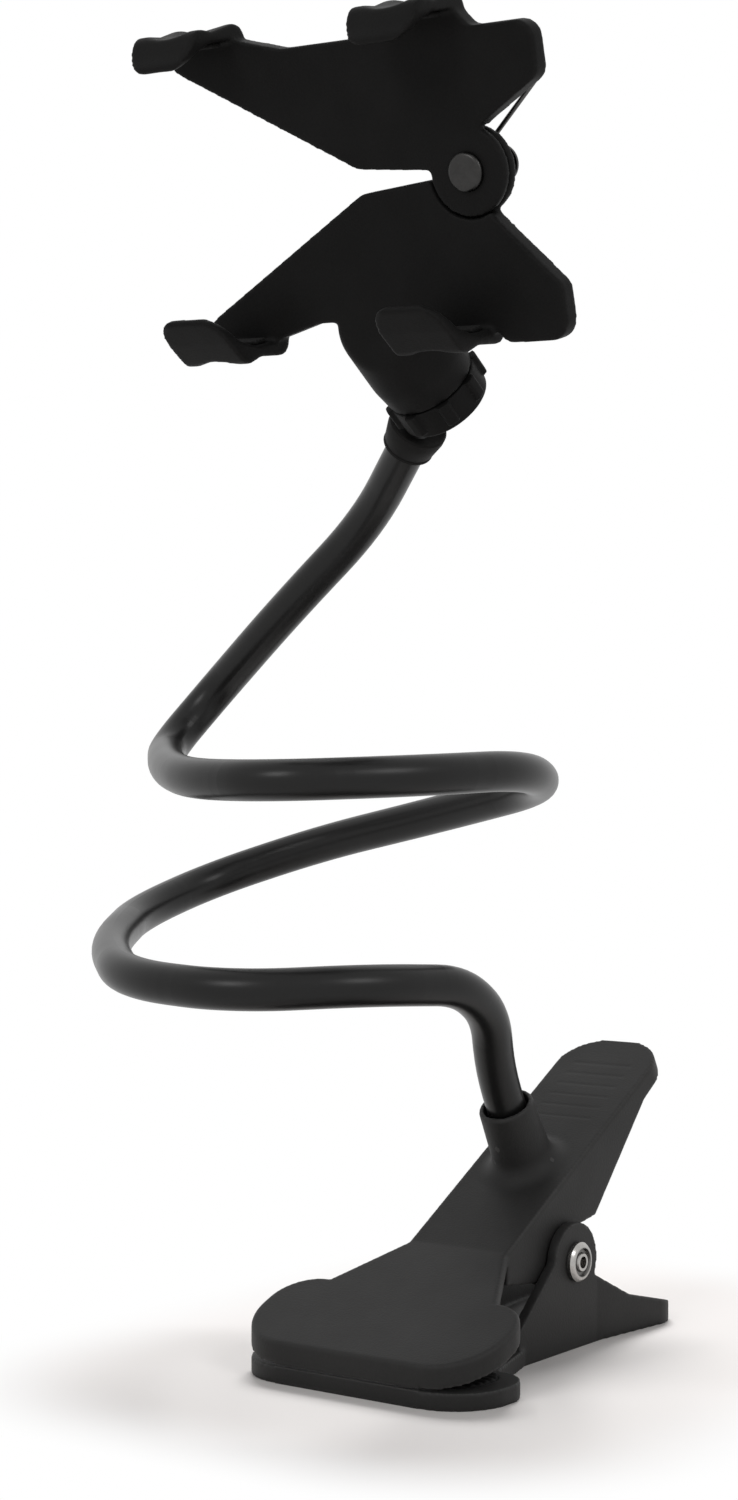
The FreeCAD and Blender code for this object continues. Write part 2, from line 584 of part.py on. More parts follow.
def make_neck_ferrule(centre, along):
    """Collar on the arm's end, with a bore for the arm and a smaller one for the stud's shank."""
    body = new_body("neck_ferrule")
    side = sketch_on(body, "ferrule_side", "XZ_Plane")
    shank = "stud_shank_radius + running_gap"
    low = "ferrule_start + ferrule_length"
    step = "tube_seat - stud_head_height - running_gap"
    bore = "tube_radius + glue_gap"
    rib = "ferrule_start + ferrule_length * 0.28"
    outline(side, [
        (shank, "ferrule_start"), ("ferrule_radius * 0.85", "ferrule_start", "edge_round"),
        ("ferrule_radius * 0.94", rib), ("ferrule_radius", rib),
        ("ferrule_radius", low, "edge_round * 1.5"), (bore, low), (bore, step), (shank, step),
    ])
    turn(body, "ferrule", "Revolution", side)
    body.Placement = Placement(centre, Rotation(Vector(0, 0, 1), along))
    return body


def socket_axis():
    """Return the axis of turning that leans the socket away from the clip's own normal."""
    lean = math.radians(size("socket_lean"))
    return Vector(math.cos(lean), 0, math.sin(lean))


def make_lock_ring(head):
    """Ribbed ring that closes over the ball; its flared mouth lets the stud tilt."""
    body = new_body("lock_ring")
    side = sketch_on(body, "ring_side", "XZ_Plane")
    seat = "ball_radius + socket_gap"
    bore = "%s + socket_wall + socket_gap" % seat
    front = "-ring_front"
    shoulder = "socket_gap"
    lip = "sqrt((%s) ^ 2 - ring_lip_radius ^ 2)" % seat
    middle = "(%s) / 2" % lip
    outline(side, [
        (bore, front), ("ring_radius", front), ("ring_radius", "ring_back", "edge_round * 0.7"),
        ("ring_lip_radius + (ring_back - %s) * ring_flare" % lip, "ring_back"),
        ("ring_lip_radius", lip), ("sqrt((%s) ^ 2 - (%s) ^ 2)" % (seat, middle), middle),
        (seat, shoulder), (bore, shoulder),
    ])
    turn(body, "ring", "Revolution", side)
    rib = sketch_on(body, "rib_plan", "XY_Plane", ("0", "0", front))
    root, outer = "ring_radius - rib_height / 2", "ring_radius + rib_height"
    outline(rib, [
        (root, "-rib_width / 2"), (outer, "-rib_width / 2", "edge_round"),
        (outer, "rib_width / 2", "edge_round"), (root, "rib_width / 2"),
    ])
    block = extrude(body, "rib", "Pad", rib, "ring_front + ring_back - 2 * edge_round")
    pattern = body.newObject("PartDesign::PolarPattern", "ribs")
    pattern.Originals = [block]
    pattern.Axis = (rib, ["N_Axis"])
    pattern.Angle = 360
    pattern.Occurrences = int(size("rib_count"))
    pattern.setExpression("Occurrences", bound("rib_count"))
    body.Tip = pattern
    doc.recompute()
    lean = Rotation(socket_axis(), size("socket_tilt"))
    turned = lean.multiply(Rotation(Vector(0, 0, 1), Vector(0, 1, 0)))
    body.Placement = head.multiply(Placement(Vector(), turned))
    return body


def clip_point(side, across, up):
    """Return the X and Z formulas of a point given from the cradle's middle; side is 1 or -1."""
    return "cradle_x + (%s)" % across, "cradle_z + %d * (%s)" % (side, up)


def wound(side, corners):
    """Return the corners in one winding for both levers."""
    return corners if side < 0 else corners[::-1]


def add_socket(body):
    """Bell on the lower claw lever's back, opening into the seat for the ball."""
    bell = sketch_on(body, "bell_side", "XY_Plane", axis=socket_axis(), angle="socket_tilt")
    seat = "ball_radius + socket_gap"
    spigot = "%s + socket_wall" % seat
    rim = "-ring_front - socket_gap"
    crown = "-bell_length - bell_radius"
    outline(bell, [
        ("0", crown), ("bell_radius", crown, "bell_radius * 0.98"),
        ("bell_radius", "%s - bell_rim_radius * 0.6" % rim, "bell_rim_radius"),
        ("bell_rim_radius", rim), (spigot, rim), (spigot, "0"), ("0", "0"),
    ])
    turn(body, "bell", "Revolution", bell)
    seat_cut = body.newObject("PartDesign::SubtractiveSphere", "ball_seat")
    seat_cut.Radius = size(seat)
    seat_cut.setExpression("Radius", bound(seat))
    doc.recompute()
    face = "plate_back + plate_thickness"
    front = sketch_on(body, "bell_trim", "XZ_Plane", ("0", "0", face))
    ring(front, "0", "0", "4 * bell_length")
    extrude(body, "front_trim", "Pocket", front, "2 * bell_length", flip=True)

    def on_front(edge):
        """Say whether an edge lies on the trimmed front."""
        return all(near(p.y, "-(%s)" % face) for p in ends(edge))

    soften(body, "bell_front", "bell_round", on_front)


def make_claw_lever(label, side, head):
    """One half of the spring clip: two claws, a waist, half of the lap joint and a squeeze handle."""
    body = new_body(label)
    floor = "(grip_height / 2 + claw_pad_thickness + glue_gap)"
    half_claw, first, last = "claw_width / 2", "-claw_spacing / 2", "claw_spacing / 2"
    level = "lower" if side < 0 else "upper"
    edge, depth, rise = level + "_handle_edge", level + "_lip_depth", level + "_lip_rise"
    handle_in = "%s - clip_handle_width" % edge
    if side < 0:
        add_socket(body)
    plate = sketch_on(body, label + "_plan", "XZ_Plane", ("0", "0", "plate_back"))
    slope = "(claw_pivot_x - clip_body_left) * tan(clip_close / 2)"
    corners = [
        ("clip_body_left", "stop_gap / 2 + " + slope, "clip_corner"),
        ("claw_pivot_x", "stop_gap / 2"),
        ("claw_pivot_x + claw_knuckle_radius / 2", "claw_knuckle_radius"),
        ("clip_handle_reach", handle_in, "clip_corner"),
        ("clip_handle_reach", edge, "clip_corner * 1.25"),
        ("%s + %s + clip_corner" % (last, half_claw), edge, "clip_corner * 0.75"),
        ("%s + %s" % (last, half_claw), floor),
        ("%s - %s" % (last, half_claw), floor),
        ("%s - claw_width" % last, "clip_waist", "clip_corner * 1.5"),
        ("%s + claw_width * 1.2" % first, "clip_waist", "clip_corner * 1.5"),
        ("%s + %s" % (first, half_claw), floor),
        ("%s - %s" % (first, half_claw), floor),
        ("%s - %s" % (first, half_claw), "%s - claw_root" % floor, "clip_corner"),
    ]
    formulas = []
    for corner in corners:
        formulas.append(clip_point(side, corner[0], corner[1]) + tuple(corner[2:]))
    outline(plate, wound(side, formulas))
    extrude(body, label + "_plate", "Pad", plate, "plate_thickness")

    pivot = clip_point(side, "claw_pivot_x", "0")
    half_lap = "(plate_thickness - stop_gap) / 2"
    lap_base = "plate_back" if side < 0 else "plate_back + plate_thickness - %s" % half_lap
    cut_base = "plate_back + %s" % half_lap if side < 0 else "plate_back"
    away = sketch_on(body, label + "_lap_cut", "XZ_Plane", ("0", "0", cut_base))
    ring(away, pivot[0], pivot[1], "claw_knuckle_radius + ear_gap")
    extrude(body, label + "_lap_room", "Pocket", away, "%s + stop_gap" % half_lap, flip=True)
    disc = sketch_on(body, label + "_knuckle", "XZ_Plane", ("0", "0", lap_base))
    ring(disc, pivot[0], pivot[1], "claw_knuckle_radius")
    extrude(body, label + "_lap", "Pad", disc, half_lap)
    hole = sketch_on(body, label + "_hole", "XZ_Plane", ("0", "0", "plate_back"))
    ring(hole, pivot[0], pivot[1], "claw_pin_radius + running_gap")
    extrude(body, label + "_pin_hole", "Pocket", hole, "4 * plate_thickness", both_ways=True)

    rib = sketch_on(body, label + "_rib_plan", "XZ_Plane", ("0", "0", "plate_back"))
    rib_x = "claw_pivot_x + claw_spring_leg"
    rib_low = "%s + claw_knuckle_radius * 0.1" % handle_in
    rib_start, rib_end = rib_x + " - spring_rib_length", rib_x + " + edge_round"
    rib_high = rib_low + " + spring_rib_wall"
    outline(rib, wound(side, [
        clip_point(side, rib_start, rib_low), clip_point(side, rib_end, rib_low),
        clip_point(side, rib_end, rib_high), clip_point(side, rib_start, rib_high),
    ]))
    rib_height = "spring_rib_height" if side < 0 else SPRING_ROOM
    extrude(body, label + "_spring_rib", "Pad", rib, rib_height, flip=True)

    def up(text):
        """Return the height formula of a point this far outwards from the cradle's middle."""
        return "cradle_z + %d * (%s)" % (side, text)

    for name, middle in (("left", first), ("right", last)):
        base = ("0", "0", "cradle_x + %s - claw_width / 2" % middle)
        claw = sketch_on(body, "%s_%s_claw_side" % (label, name), "YZ_Plane", base)
        back, front = "-plate_back", "-plate_back - plate_thickness"
        lip = "%s - %s" % (front, depth)
        heel = "%s + claw_floor" % floor
        bend = "%s - claw_floor_depth" % front
        mid_lip = "%s - (%s - claw_floor_depth) * 0.52" % (bend, depth)
        outline(claw, wound(side, [
            (back, up("%s - claw_root" % floor)), (front, up("%s - claw_root" % floor)),
            (front, up(floor), "edge_round"), (bend, up(floor), "lip_round * 0.6"),
            (mid_lip, up("%s - %s * 0.28" % (floor, rise)), "lip_round"),
            (lip, up("%s - %s" % (floor, rise)), "edge_round * 0.8"),
            ("%s - lip_thickness * 0.8" % lip, up("%s - %s * 0.93" % (floor, rise)), "edge_round * 0.8"),
            ("%s - lip_thickness * 1.5" % mid_lip, up("%s - %s * 0.28" % (floor, rise)), "lip_round"),
            ("%s - lip_thickness * 2" % bend, up("%s + claw_floor * 0.3" % heel), "lip_round * 0.5"),
            ("%s + edge_round" % bend, up("%s - claw_floor * 0.1" % heel), "lip_round * 0.6"),
            ("%s + edge_round" % back, up("%s + claw_floor * 0.5" % heel), "clip_corner"),
        ]))
        extrude(body, "%s_%s_claw" % (label, name), "Pad", claw, "claw_width")
    reach = "plate_back + plate_thickness + claw_floor_depth"
    petal = sketch_on(body, label + "_petal_plan", "XZ_Plane", ("0", "0", reach))
    tip, root = "%s - %s * 1.02" % (floor, rise), "%s + claw_floor * 1.6" % floor
    for middle in (first, last):
        across = "cradle_x + (%s)" % middle
        outline(petal, rounded_end(across, half_claw, up(root), up(tip), "petal_radius"))
    extrude(body, label + "_petals", "Pocket", petal, "2 * " + depth, flip=True)
    saddle = sketch_on(body, label + "_saddle_plan", "XZ_Plane", ("0", "0", "plate_back"))
    for middle in (first, last):
        rim = "%s + claw_floor * 1.3 - saddle_depth + saddle_radius" % floor
        ring(saddle, "cradle_x + (%s)" % middle, up(rim), "saddle_radius")
    extrude(body, label + "_saddles", "Pocket", saddle, "2 * " + depth, flip=True)
    body.Placement = head
    return body


def make_claw_pin(head):
    """Rivet along the clip's normal: front head, shank through the lap joint and spring, back head."""
    body = new_body("claw_pivot")
    side = sketch_on(body, "claw_pin_side", "XZ_Plane")
    front = "plate_back + plate_thickness + running_gap"
    back = "plate_back - %s" % SPRING_ROOM
    low, high = back + " - claw_pin_head_height", front + " + claw_pin_head_height"
    outline(side, [
        ("0", low), ("claw_pin_head", low, "edge_round"), ("claw_pin_head", back),
        ("claw_pin_radius", back), ("claw_pin_radius", front), ("claw_pin_head", front),
        ("claw_pin_head", high, "edge_round"), ("0", high),
    ])
    turn(body, "claw_pin", "Revolution", side)
    place = Placement(Vector(size("cradle_x + claw_pivot_x"), 0, size("cradle_z")),
                      Rotation(Vector(0, 0, 1), Vector(0, -1, 0)))
    body.Placement = head.multiply(place)
    return body


def make_claw_spring(head):
    """Torsion spring on the clip's rivet that pushes the two squeeze handles apart."""
    wire, turns = size("claw_spring_wire"), int(size("claw_spring_turns"))
    leg = size("claw_spring_leg")
    inset = "clip_handle_width - claw_knuckle_radius * 0.1 + spring_gap + claw_spring_wire / 2"
    upper = (leg, size("upper_handle_edge - (%s)" % inset))
    lower = (leg, -size("lower_handle_edge - (%s)" % inset))
    spring = torsion_spring("claw_spring", size("claw_spring_radius"), wire, turns, upper, lower)
    depth = -size("plate_back - %s / 2" % SPRING_ROOM)
    upright = Placement(Vector(size("cradle_x + claw_pivot_x"), depth, size("cradle_z")),
                        Rotation(Vector(0, 0, 1), -90))
    spring.Placement = head.multiply(upright).multiply(spring.Placement)
    return spring


def make_claw_pad(label, side, middle, head):
    """Thin grip pad on a claw's floor."""
    body = new_body(label)
    base_z = "cradle_z + %d * (grip_height / 2)" % side
    plan = sketch_on(body, label + "_plan", "XY_Plane", ("0", "0", base_z))
    x, half = "cradle_x + (%s)" % middle, "claw_pad_width / 2"
    far = "-plate_back - plate_thickness - edge_round"
    outline(plan, [
        ("%s - %s" % (x, half), "%s - claw_pad_length" % far, "edge_round"),
        ("%s + %s" % (x, half), "%s - claw_pad_length" % far, "edge_round"),
        ("%s + %s" % (x, half), far, "edge_round"), ("%s - %s" % (x, half), far, "edge_round"),
    ])
    extrude(body, label + "_block", "Pad", plan, "claw_pad_thickness", flip=side < 0)
    body.Placement = head
    return body


def build():
    """Make every sub-part and return them."""
    points = arm_points()
    centre, along = ball_frame(points)
    tilt = Rotation(Vector(1, 0, 0), size("head_tilt"))
    head = Placement(centre, Rotation(Vector(0, 1, 0), size("head_roll")).multiply(tilt))
    pieces = [make_lower_lever(), make_upper_lever(), make_hinge_rivet(), make_clamp_spring()]
    upper_seat = (
        "0", "%s - pad_recess * sin(jaw_angle)" % FRONT, "lip_height + pad_recess * cos(jaw_angle)",
    )
    lower_seat = ("0", FRONT, "lower_jaw_thickness - pad_recess")
    pieces.append(make_jaw_pad("upper_jaw_pad", upper_seat, "jaw_angle", True))
    pieces.append(make_jaw_pad("lower_jaw_pad", lower_seat, "0", False))
    bore = size("core_radius + glue_gap")
    pieces.append(make_tube("gooseneck_sleeve", points, size("tube_radius"), bore))
    pieces.append(make_tube("gooseneck_core", points, size("core_radius")))
    pieces += [make_neck_ferrule(centre, along), make_ball_stud(centre, along), make_lock_ring(head)]
    pieces += [make_claw_lever("lower_claw_lever", -1, head), make_claw_lever("upper_claw_lever", 1, head)]
    pieces += [make_claw_pin(head), make_claw_spring(head)]
    for level, side in (("lower", -1), ("upper", 1)):
        for name, middle in (("left", "-claw_spacing / 2"), ("right", "claw_spacing / 2")):
            pieces.append(make_claw_pad("claw_pad_%s_%s" % (level, name), side, middle, head))
    return pieces


def check(pieces):
    """Stop if any object failed or any sub-part's shape is missing or broken."""
    doc.recompute()
    for item in doc.Objects:
        if "Invalid" in item.State or "Error" in item.State:
            raise RuntimeError("%s failed: %s" % (item.Label, item.State))
    for piece in pieces:
        if piece.Shape.isNull() or not piece.Shape.isValid() or not piece.Shape.Solids:
            raise RuntimeError("%s has no sound solid" % piece.Label)
        if len(piece.Shape.Solids) > 1:
            raise RuntimeError("%s fell into %d solids" % (piece.Label, len(piece.Shape.Solids)))


def main():
    """Build, check and write one file per sub-part."""
    pieces = build()
    check(pieces)
    os.makedirs("parts", exist_ok=True)
    for piece in pieces:
        piece.Shape.exportStep("parts/%s.step" % piece.Label)


main()
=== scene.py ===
"""Looks of a clip-on gooseneck holder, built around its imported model.

All lengths are metres in the frame of the model: +Z up, the floor at z = 0.
"""

import json
import logging
import math
from dataclasses import dataclass, field
from enum import Enum
from typing import Dict, List, Mapping, Optional, Sequence, Tuple, Union

import bmesh
import bpy
from mathutils import Matrix, Vector

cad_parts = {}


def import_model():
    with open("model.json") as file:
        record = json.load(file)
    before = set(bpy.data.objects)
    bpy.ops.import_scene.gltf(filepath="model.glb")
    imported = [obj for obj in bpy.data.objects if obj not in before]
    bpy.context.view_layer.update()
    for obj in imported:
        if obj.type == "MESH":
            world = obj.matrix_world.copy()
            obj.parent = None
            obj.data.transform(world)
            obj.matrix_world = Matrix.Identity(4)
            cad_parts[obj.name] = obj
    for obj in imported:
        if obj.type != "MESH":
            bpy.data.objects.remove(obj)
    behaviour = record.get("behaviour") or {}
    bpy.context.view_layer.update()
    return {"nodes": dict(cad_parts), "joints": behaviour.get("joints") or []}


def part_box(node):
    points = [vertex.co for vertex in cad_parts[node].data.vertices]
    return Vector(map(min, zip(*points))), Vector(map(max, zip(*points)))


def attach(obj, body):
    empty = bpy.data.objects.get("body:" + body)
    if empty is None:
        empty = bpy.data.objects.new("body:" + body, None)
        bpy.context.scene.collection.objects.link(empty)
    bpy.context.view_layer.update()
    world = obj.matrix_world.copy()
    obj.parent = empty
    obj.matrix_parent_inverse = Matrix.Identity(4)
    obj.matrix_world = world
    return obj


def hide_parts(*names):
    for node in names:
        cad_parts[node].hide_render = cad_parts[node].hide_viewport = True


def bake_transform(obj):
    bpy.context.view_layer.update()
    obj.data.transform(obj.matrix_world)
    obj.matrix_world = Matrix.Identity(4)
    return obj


LOG = logging.getLogger("holder")

Colour = Tuple[float, float, float]
Place = Tuple[float, float, float]
Profile = List[Tuple[float, float]]
Faces = List[Tuple[int, ...]]
Value = Union["Shade", float]

WHITE: Colour = (1.0, 1.0, 1.0)

# Edges of turned pieces that are keener than this stay crisp in the shading.
CRISP_ANGLE = math.radians(35.0)

# Height of the clamp's hinge, and the radius of the last ring of an end that closes on its axis.
PIVOT_HEIGHT = 0.019
ON_AXIS = 1e-5

# Sockets of a colour Mix node, which shares their names with its other kinds.
MIX_FACTOR, MIX_FIRST, MIX_SECOND, MIX_RESULT = 0, 6, 7, 2


class Body(Enum):
    """The moving bodies that new pieces ride on, as the record names them."""

    BASE = "base"
    ARM = "arm"
    RING = "ring"
    CRADLE = "cradle"
    UPPER_CLAW = "upper_claw"


class Slot(Enum):
    """Material slots of the record."""

    BODY = "body_plastic"
    PAD = "pad_rubber"
    RIVET = "rivet_steel"
    SPRING = "spring_steel"


class Axis(Enum):
    """A coordinate of the object, by its place in a vector."""

    X = 0
    Y = 1
    Z = 2


def opaque(colour: Colour) -> Tuple[float, float, float, float]:
    """Gives a colour with full cover."""
    return (*colour, 1.0)


def scaled(colour: Colour, factor: float) -> Colour:
    """Gives a colour made lighter or darker."""
    return tuple(factor * part for part in colour)


class Graph:
    """A shader tree, filled by one method that makes any node."""

    def __init__(self, tree: bpy.types.NodeTree) -> None:
        """Takes the tree of a material or of the world, and empties it."""
        self.tree = tree
        self.tree.nodes.clear()

    def node(
        self,
        kind: str,
        settings: Optional[Mapping[str, object]] = None,
        values: Optional[Mapping[Union[str, int], object]] = None,
    ) -> bpy.types.Node:
        """Makes a node, sets it up and fills its sockets.

        Args:
            kind: name of the node type.
            settings: properties of the node, such as its operation.
            values: socket name or index to a plain value or a Shade.

        Returns:
            The new node.
        """
        made = self.tree.nodes.new(kind)
        for key, value in (settings or {}).items():
            setattr(made, key, value)
        for key, value in (values or {}).items():
            socket = made.inputs[key]
            if isinstance(value, Shade):
                self.tree.links.new(value.socket, socket)
            else:
                socket.default_value = value
        return made

    def out(self, node: bpy.types.Node, socket: Union[str, int] = 0) -> "Shade":
        """Wraps an output of a node."""
        return Shade(self, node.outputs[socket])

    def position(self) -> "Shade":
        """Gives the place on the object, which moves with its body."""
        return self.out(self.node("ShaderNodeTexCoord"), "Object")

    def seen(self) -> "Shade":
        """Marks the rays that show in the picture, straight, mirrored or through glass.

        Returns:
            1 for those rays and 0 for the rest.
        """
        path = self.node("ShaderNodeLightPath")
        marked = self.out(path, "Is Camera Ray")
        for kind in ("Is Glossy Ray", "Is Transmission Ray"):
            marked = marked.larger(self.out(path, kind))
        return marked

    def noise(self, place: "Shade", grain: float, octaves: float) -> "Shade":
        """Gives soft noise from 0 to 1, with grains of the given length."""
        values = {"Vector": place, "Scale": 1.0 / grain, "Detail": octaves}
        return self.out(self.node("ShaderNodeTexNoise", None, values), "Fac")

    def mix(self, factor: Value, first: Union["Shade", Colour], second: Colour) -> "Shade":
        """Mixes two colours.

        Args:
            factor: 0 for the first colour, 1 for the second.
            first: linear colour, plain or varying over the surface.
            second: linear colour.

        Returns:
            The mixed colour.
        """
        under = first if isinstance(first, Shade) else opaque(first)
        values = {MIX_FACTOR: factor, MIX_FIRST: under, MIX_SECOND: opaque(second)}
        return self.out(self.node("ShaderNodeMix", {"data_type": "RGBA"}, values), MIX_RESULT)

    def bump(self, height: "Shade", depth: float) -> "Shade":
        """Turns a height from 0 to 1 into a normal, for a depth in metres."""
        values = {"Height": height, "Distance": depth, "Strength": 1.0}
        return self.out(self.node("ShaderNodeBump", None, values))


class Shade:
    """A socket's value, on which the operators add Math nodes."""

    def __init__(self, graph: Graph, socket: bpy.types.NodeSocket) -> None:
        """Keeps the socket and the graph that it belongs to."""
        self.graph = graph
        self.socket = socket

    def _math(self, operation: str, first: Value, second: Value = 0.0) -> "Shade":
        """Adds a Math node.

        Args:
            operation: name of the operation.
            first: first operand.
            second: second operand.

        Returns:
            The result.
        """
        settings = {"operation": operation}
        node = self.graph.node("ShaderNodeMath", settings, {0: first, 1: second})
        return self.graph.out(node)

    def __add__(self, other: Value) -> "Shade":
        """Adds."""
        return self._math("ADD", self, other)

    __radd__ = __add__

    def __sub__(self, other: Value) -> "Shade":
        """Takes the other away."""
        return self._math("SUBTRACT", self, other)

    def __rsub__(self, other: Value) -> "Shade":
        """Is taken away from the other."""
        return self._math("SUBTRACT", other, self)

    def __mul__(self, other: Value) -> "Shade":
        """Multiplies."""
        return self._math("MULTIPLY", self, other)

    __rmul__ = __mul__

    def __pow__(self, other: Value) -> "Shade":
        """Raises to a power."""
        return self._math("POWER", self, other)

    def __rpow__(self, other: Value) -> "Shade":
        """Is the power that the other is raised to."""
        return self._math("POWER", other, self)

    def sine(self) -> "Shade":
        """Gives the sine."""
        return self._math("SINE", self)

    def size(self) -> "Shade":
        """Gives the value without its sign."""
        return self._math("ABSOLUTE", self)

    def larger(self, other: Value) -> "Shade":
        """Gives the larger of the two."""
        return self._math("MAXIMUM", self, other)

    def span(self, other: "Shade") -> "Shade":
        """Gives the distance that two values at right angles make."""
        return (self * self + other * other) ** 0.5

    def part(self, axis: Axis) -> "Shade":
        """Gives one coordinate of a vector."""
        split = self.graph.node("ShaderNodeSeparateXYZ", None, {0: self})
        return self.graph.out(split, axis.value)

    def rise(self, low: float, high: float) -> "Shade":
        """Goes smoothly from 0 at low to 1 at high.

        Args:
            low: value that gives 0.
            high: value that gives 1.

        Returns:
            The eased value.
        """
        settings = {"interpolation_type": "SMOOTHSTEP"}
        values = {"Value": self, "From Min": low, "From Max": high, "To Min": 0.0, "To Max": 1.0}
        return self.graph.out(self.graph.node("ShaderNodeMapRange", settings, values))


@dataclass(frozen=True)
class Finish:
    """What every finish shares: a colour that wanders a little, and a grain."""

    name: str
    colour: Colour
    roughness: float
    specular: float
    wander: float
    patch: float
    grain: float
    depth: float
    rough_swing: float = 0.08
    cloud_share: float = 0.7
    cloud_range: Tuple[float, float] = (0.3, 0.7)
    fleck_grains: float = 2.0
    gloss_patch: float = 0.6

    def material(self) -> bpy.types.Material:
        """Builds the material.

        Returns:
            The material, with its nodes in place.
        """
        made = bpy.data.materials.new(self.name)
        made.use_nodes = True
        graph = Graph(made.node_tree)
        place = graph.position()
        values = {
            "Base Color": self.tint(graph, place),
            "Roughness": self.gloss(graph, place),
            "Specular IOR Level": self.specular,
            "Normal": self.surface(graph, place),
        }
        values.update(self.constants())
        shader = graph.out(graph.node("ShaderNodeBsdfPrincipled", None, values))
        graph.node("ShaderNodeOutputMaterial", None, {"Surface": shader})
        made.diffuse_color = opaque(self.colour)
        return made

    def constants(self) -> Dict[str, float]:
        """Gives sockets that hold one value all over."""
        return {"Metallic": 0.0}

    def tint(self, graph: Graph, place: Shade) -> Shade:
        """Gives the base colour.

        Args:
            graph: graph of the material.
            place: place on the object.

        Returns:
            The colour, with wide clouds and fine flecks.
        """
        clouds = graph.noise(place, self.patch, octaves=3.0)
        flecks = graph.noise(place, self.grain * self.fleck_grains, octaves=1.0)
        share = clouds * self.cloud_share + flecks * (1.0 - self.cloud_share)
        light = scaled(self.colour, 1.0 + self.wander)
        dark = scaled(self.colour, 1.0 - self.wander)
        return graph.mix(share.rise(*self.cloud_range), dark, light)

    def gloss(self, graph: Graph, place: Shade) -> Shade:
        """Gives the roughness, which wanders in patches."""
        patches = graph.noise(place, self.patch * self.gloss_patch, octaves=3.0)
        return patches * (2.0 * self.rough_swing) + (self.roughness - self.rough_swing)

    def surface(self, graph: Graph, place: Shade) -> Shade:
        """Gives the normal of the grain."""
        return graph.bump(graph.noise(place, self.grain, octaves=2.0), self.depth)


@dataclass(frozen=True)
class EtchedPlastic(Finish):
    """Moulded plastic from an etched mould: fine pits, and a painted highlight that draws outer edges a
    little lighter.
    """

    pit: float = 0.0005
    pit_rim: float = 0.8
    pit_share: float = 0.5
    # Strength of the painted edge highlight, and the pointiness over which it fades in.
    painted_edge_highlight: float = 0.0
    painted_edge_highlight_from: float = 0.51
    painted_edge_highlight_to: float = 0.57

    def tint(self, graph: Graph, place: Shade) -> Shade:
        """Gives the base colour.

        Args:
            graph: graph of the material.
            place: place on the object.

        Returns:
            The clouded colour, with a painted highlight that draws outer edges lighter.
        """
        plain = super().tint(graph, place)
        if self.painted_edge_highlight == 0.0:
            return plain
        # Painted highlight: keen outer edges are drawn lighter, as if light caught them.
        keen = graph.out(graph.node("ShaderNodeNewGeometry"), "Pointiness")
        edge = keen.rise(self.painted_edge_highlight_from, self.painted_edge_highlight_to)
        return graph.mix(edge, plain, scaled(self.colour, 1.0 + self.painted_edge_highlight))

    def surface(self, graph: Graph, place: Shade) -> Shade:
        """Gives the normal of the etched pits.

        Args:
            graph: graph of the material.
            place: place on the object.

        Returns:
            The normal.
        """
        cell = graph.node("ShaderNodeTexVoronoi", None, {"Vector": place, "Scale": 1.0 / self.pit})
        pits = graph.out(cell, "Distance").rise(0.0, self.pit_rim)
        grain = graph.noise(place, self.grain, octaves=3.0)
        return graph.bump(pits * self.pit_share + grain * (1.0 - self.pit_share), self.depth)


@dataclass(frozen=True)
class TurnedMetal(Finish):
    """Bright metal with fine turning lines around an axis along X, and a dished ring drawn darker with
    painted shade.
    """

    axis_y: float = 0.0
    axis_z: float = 0.0
    line: float = 0.00012
    line_share: float = 0.6
    # Radii of the dished ring, the softness of its edges, and how dark its painted shade is.
    dish: Tuple[float, float] = (0.0, 0.0)
    dish_ease: float = 0.0004
    dish_painted_shade: float = 1.0

    def constants(self) -> Dict[str, float]:
        """Gives sockets that hold one value all over."""
        return {"Metallic": 1.0}

    def radius(self, place: Shade) -> Shade:
        """Gives the distance from the axis.

        Args:
            place: place on the object.

        Returns:
            The distance in metres.
        """
        across = place.part(Axis.Y) - self.axis_y
        up = place.part(Axis.Z) - self.axis_z
        return across.span(up)

    def tint(self, graph: Graph, place: Shade) -> Shade:
        """Gives the base colour.

        Args:
            graph: graph of the material.
            place: place on the object.

        Returns:
            The bright colour, with painted shade in a darker band over the dished ring.
        """
        radius = self.radius(place)
        inner, outer = self.dish
        # Painted shade: the dished ring is drawn darker, as its hollow would be shaded.
        entered = radius.rise(inner, inner + self.dish_ease)
        ring = entered * (1.0 - radius.rise(outer - self.dish_ease, outer))
        plain = super().tint(graph, place)
        return graph.mix(ring, plain, scaled(self.colour, self.dish_painted_shade))

    def surface(self, graph: Graph, place: Shade) -> Shade:
        """Gives the normal of the turning lines.

        Args:
            graph: graph of the material.
            place: place on the object.

        Returns:
            The normal.
        """
        lines = (self.radius(place) * (2.0 * math.pi / self.line)).sine() * 0.5 + 0.5
        scratches = graph.noise(place, self.grain, octaves=4.0)
        return graph.bump(lines * self.line_share + scratches * (1.0 - self.line_share), self.depth)


@dataclass(frozen=True)
class DrawnMetal(Finish):
    """Drawn or cast metal with a fine uneven skin."""

    metal: float = 1.0

    def constants(self) -> Dict[str, float]:
        """Gives sockets that hold one value all over."""
        return {"Metallic": self.metal}


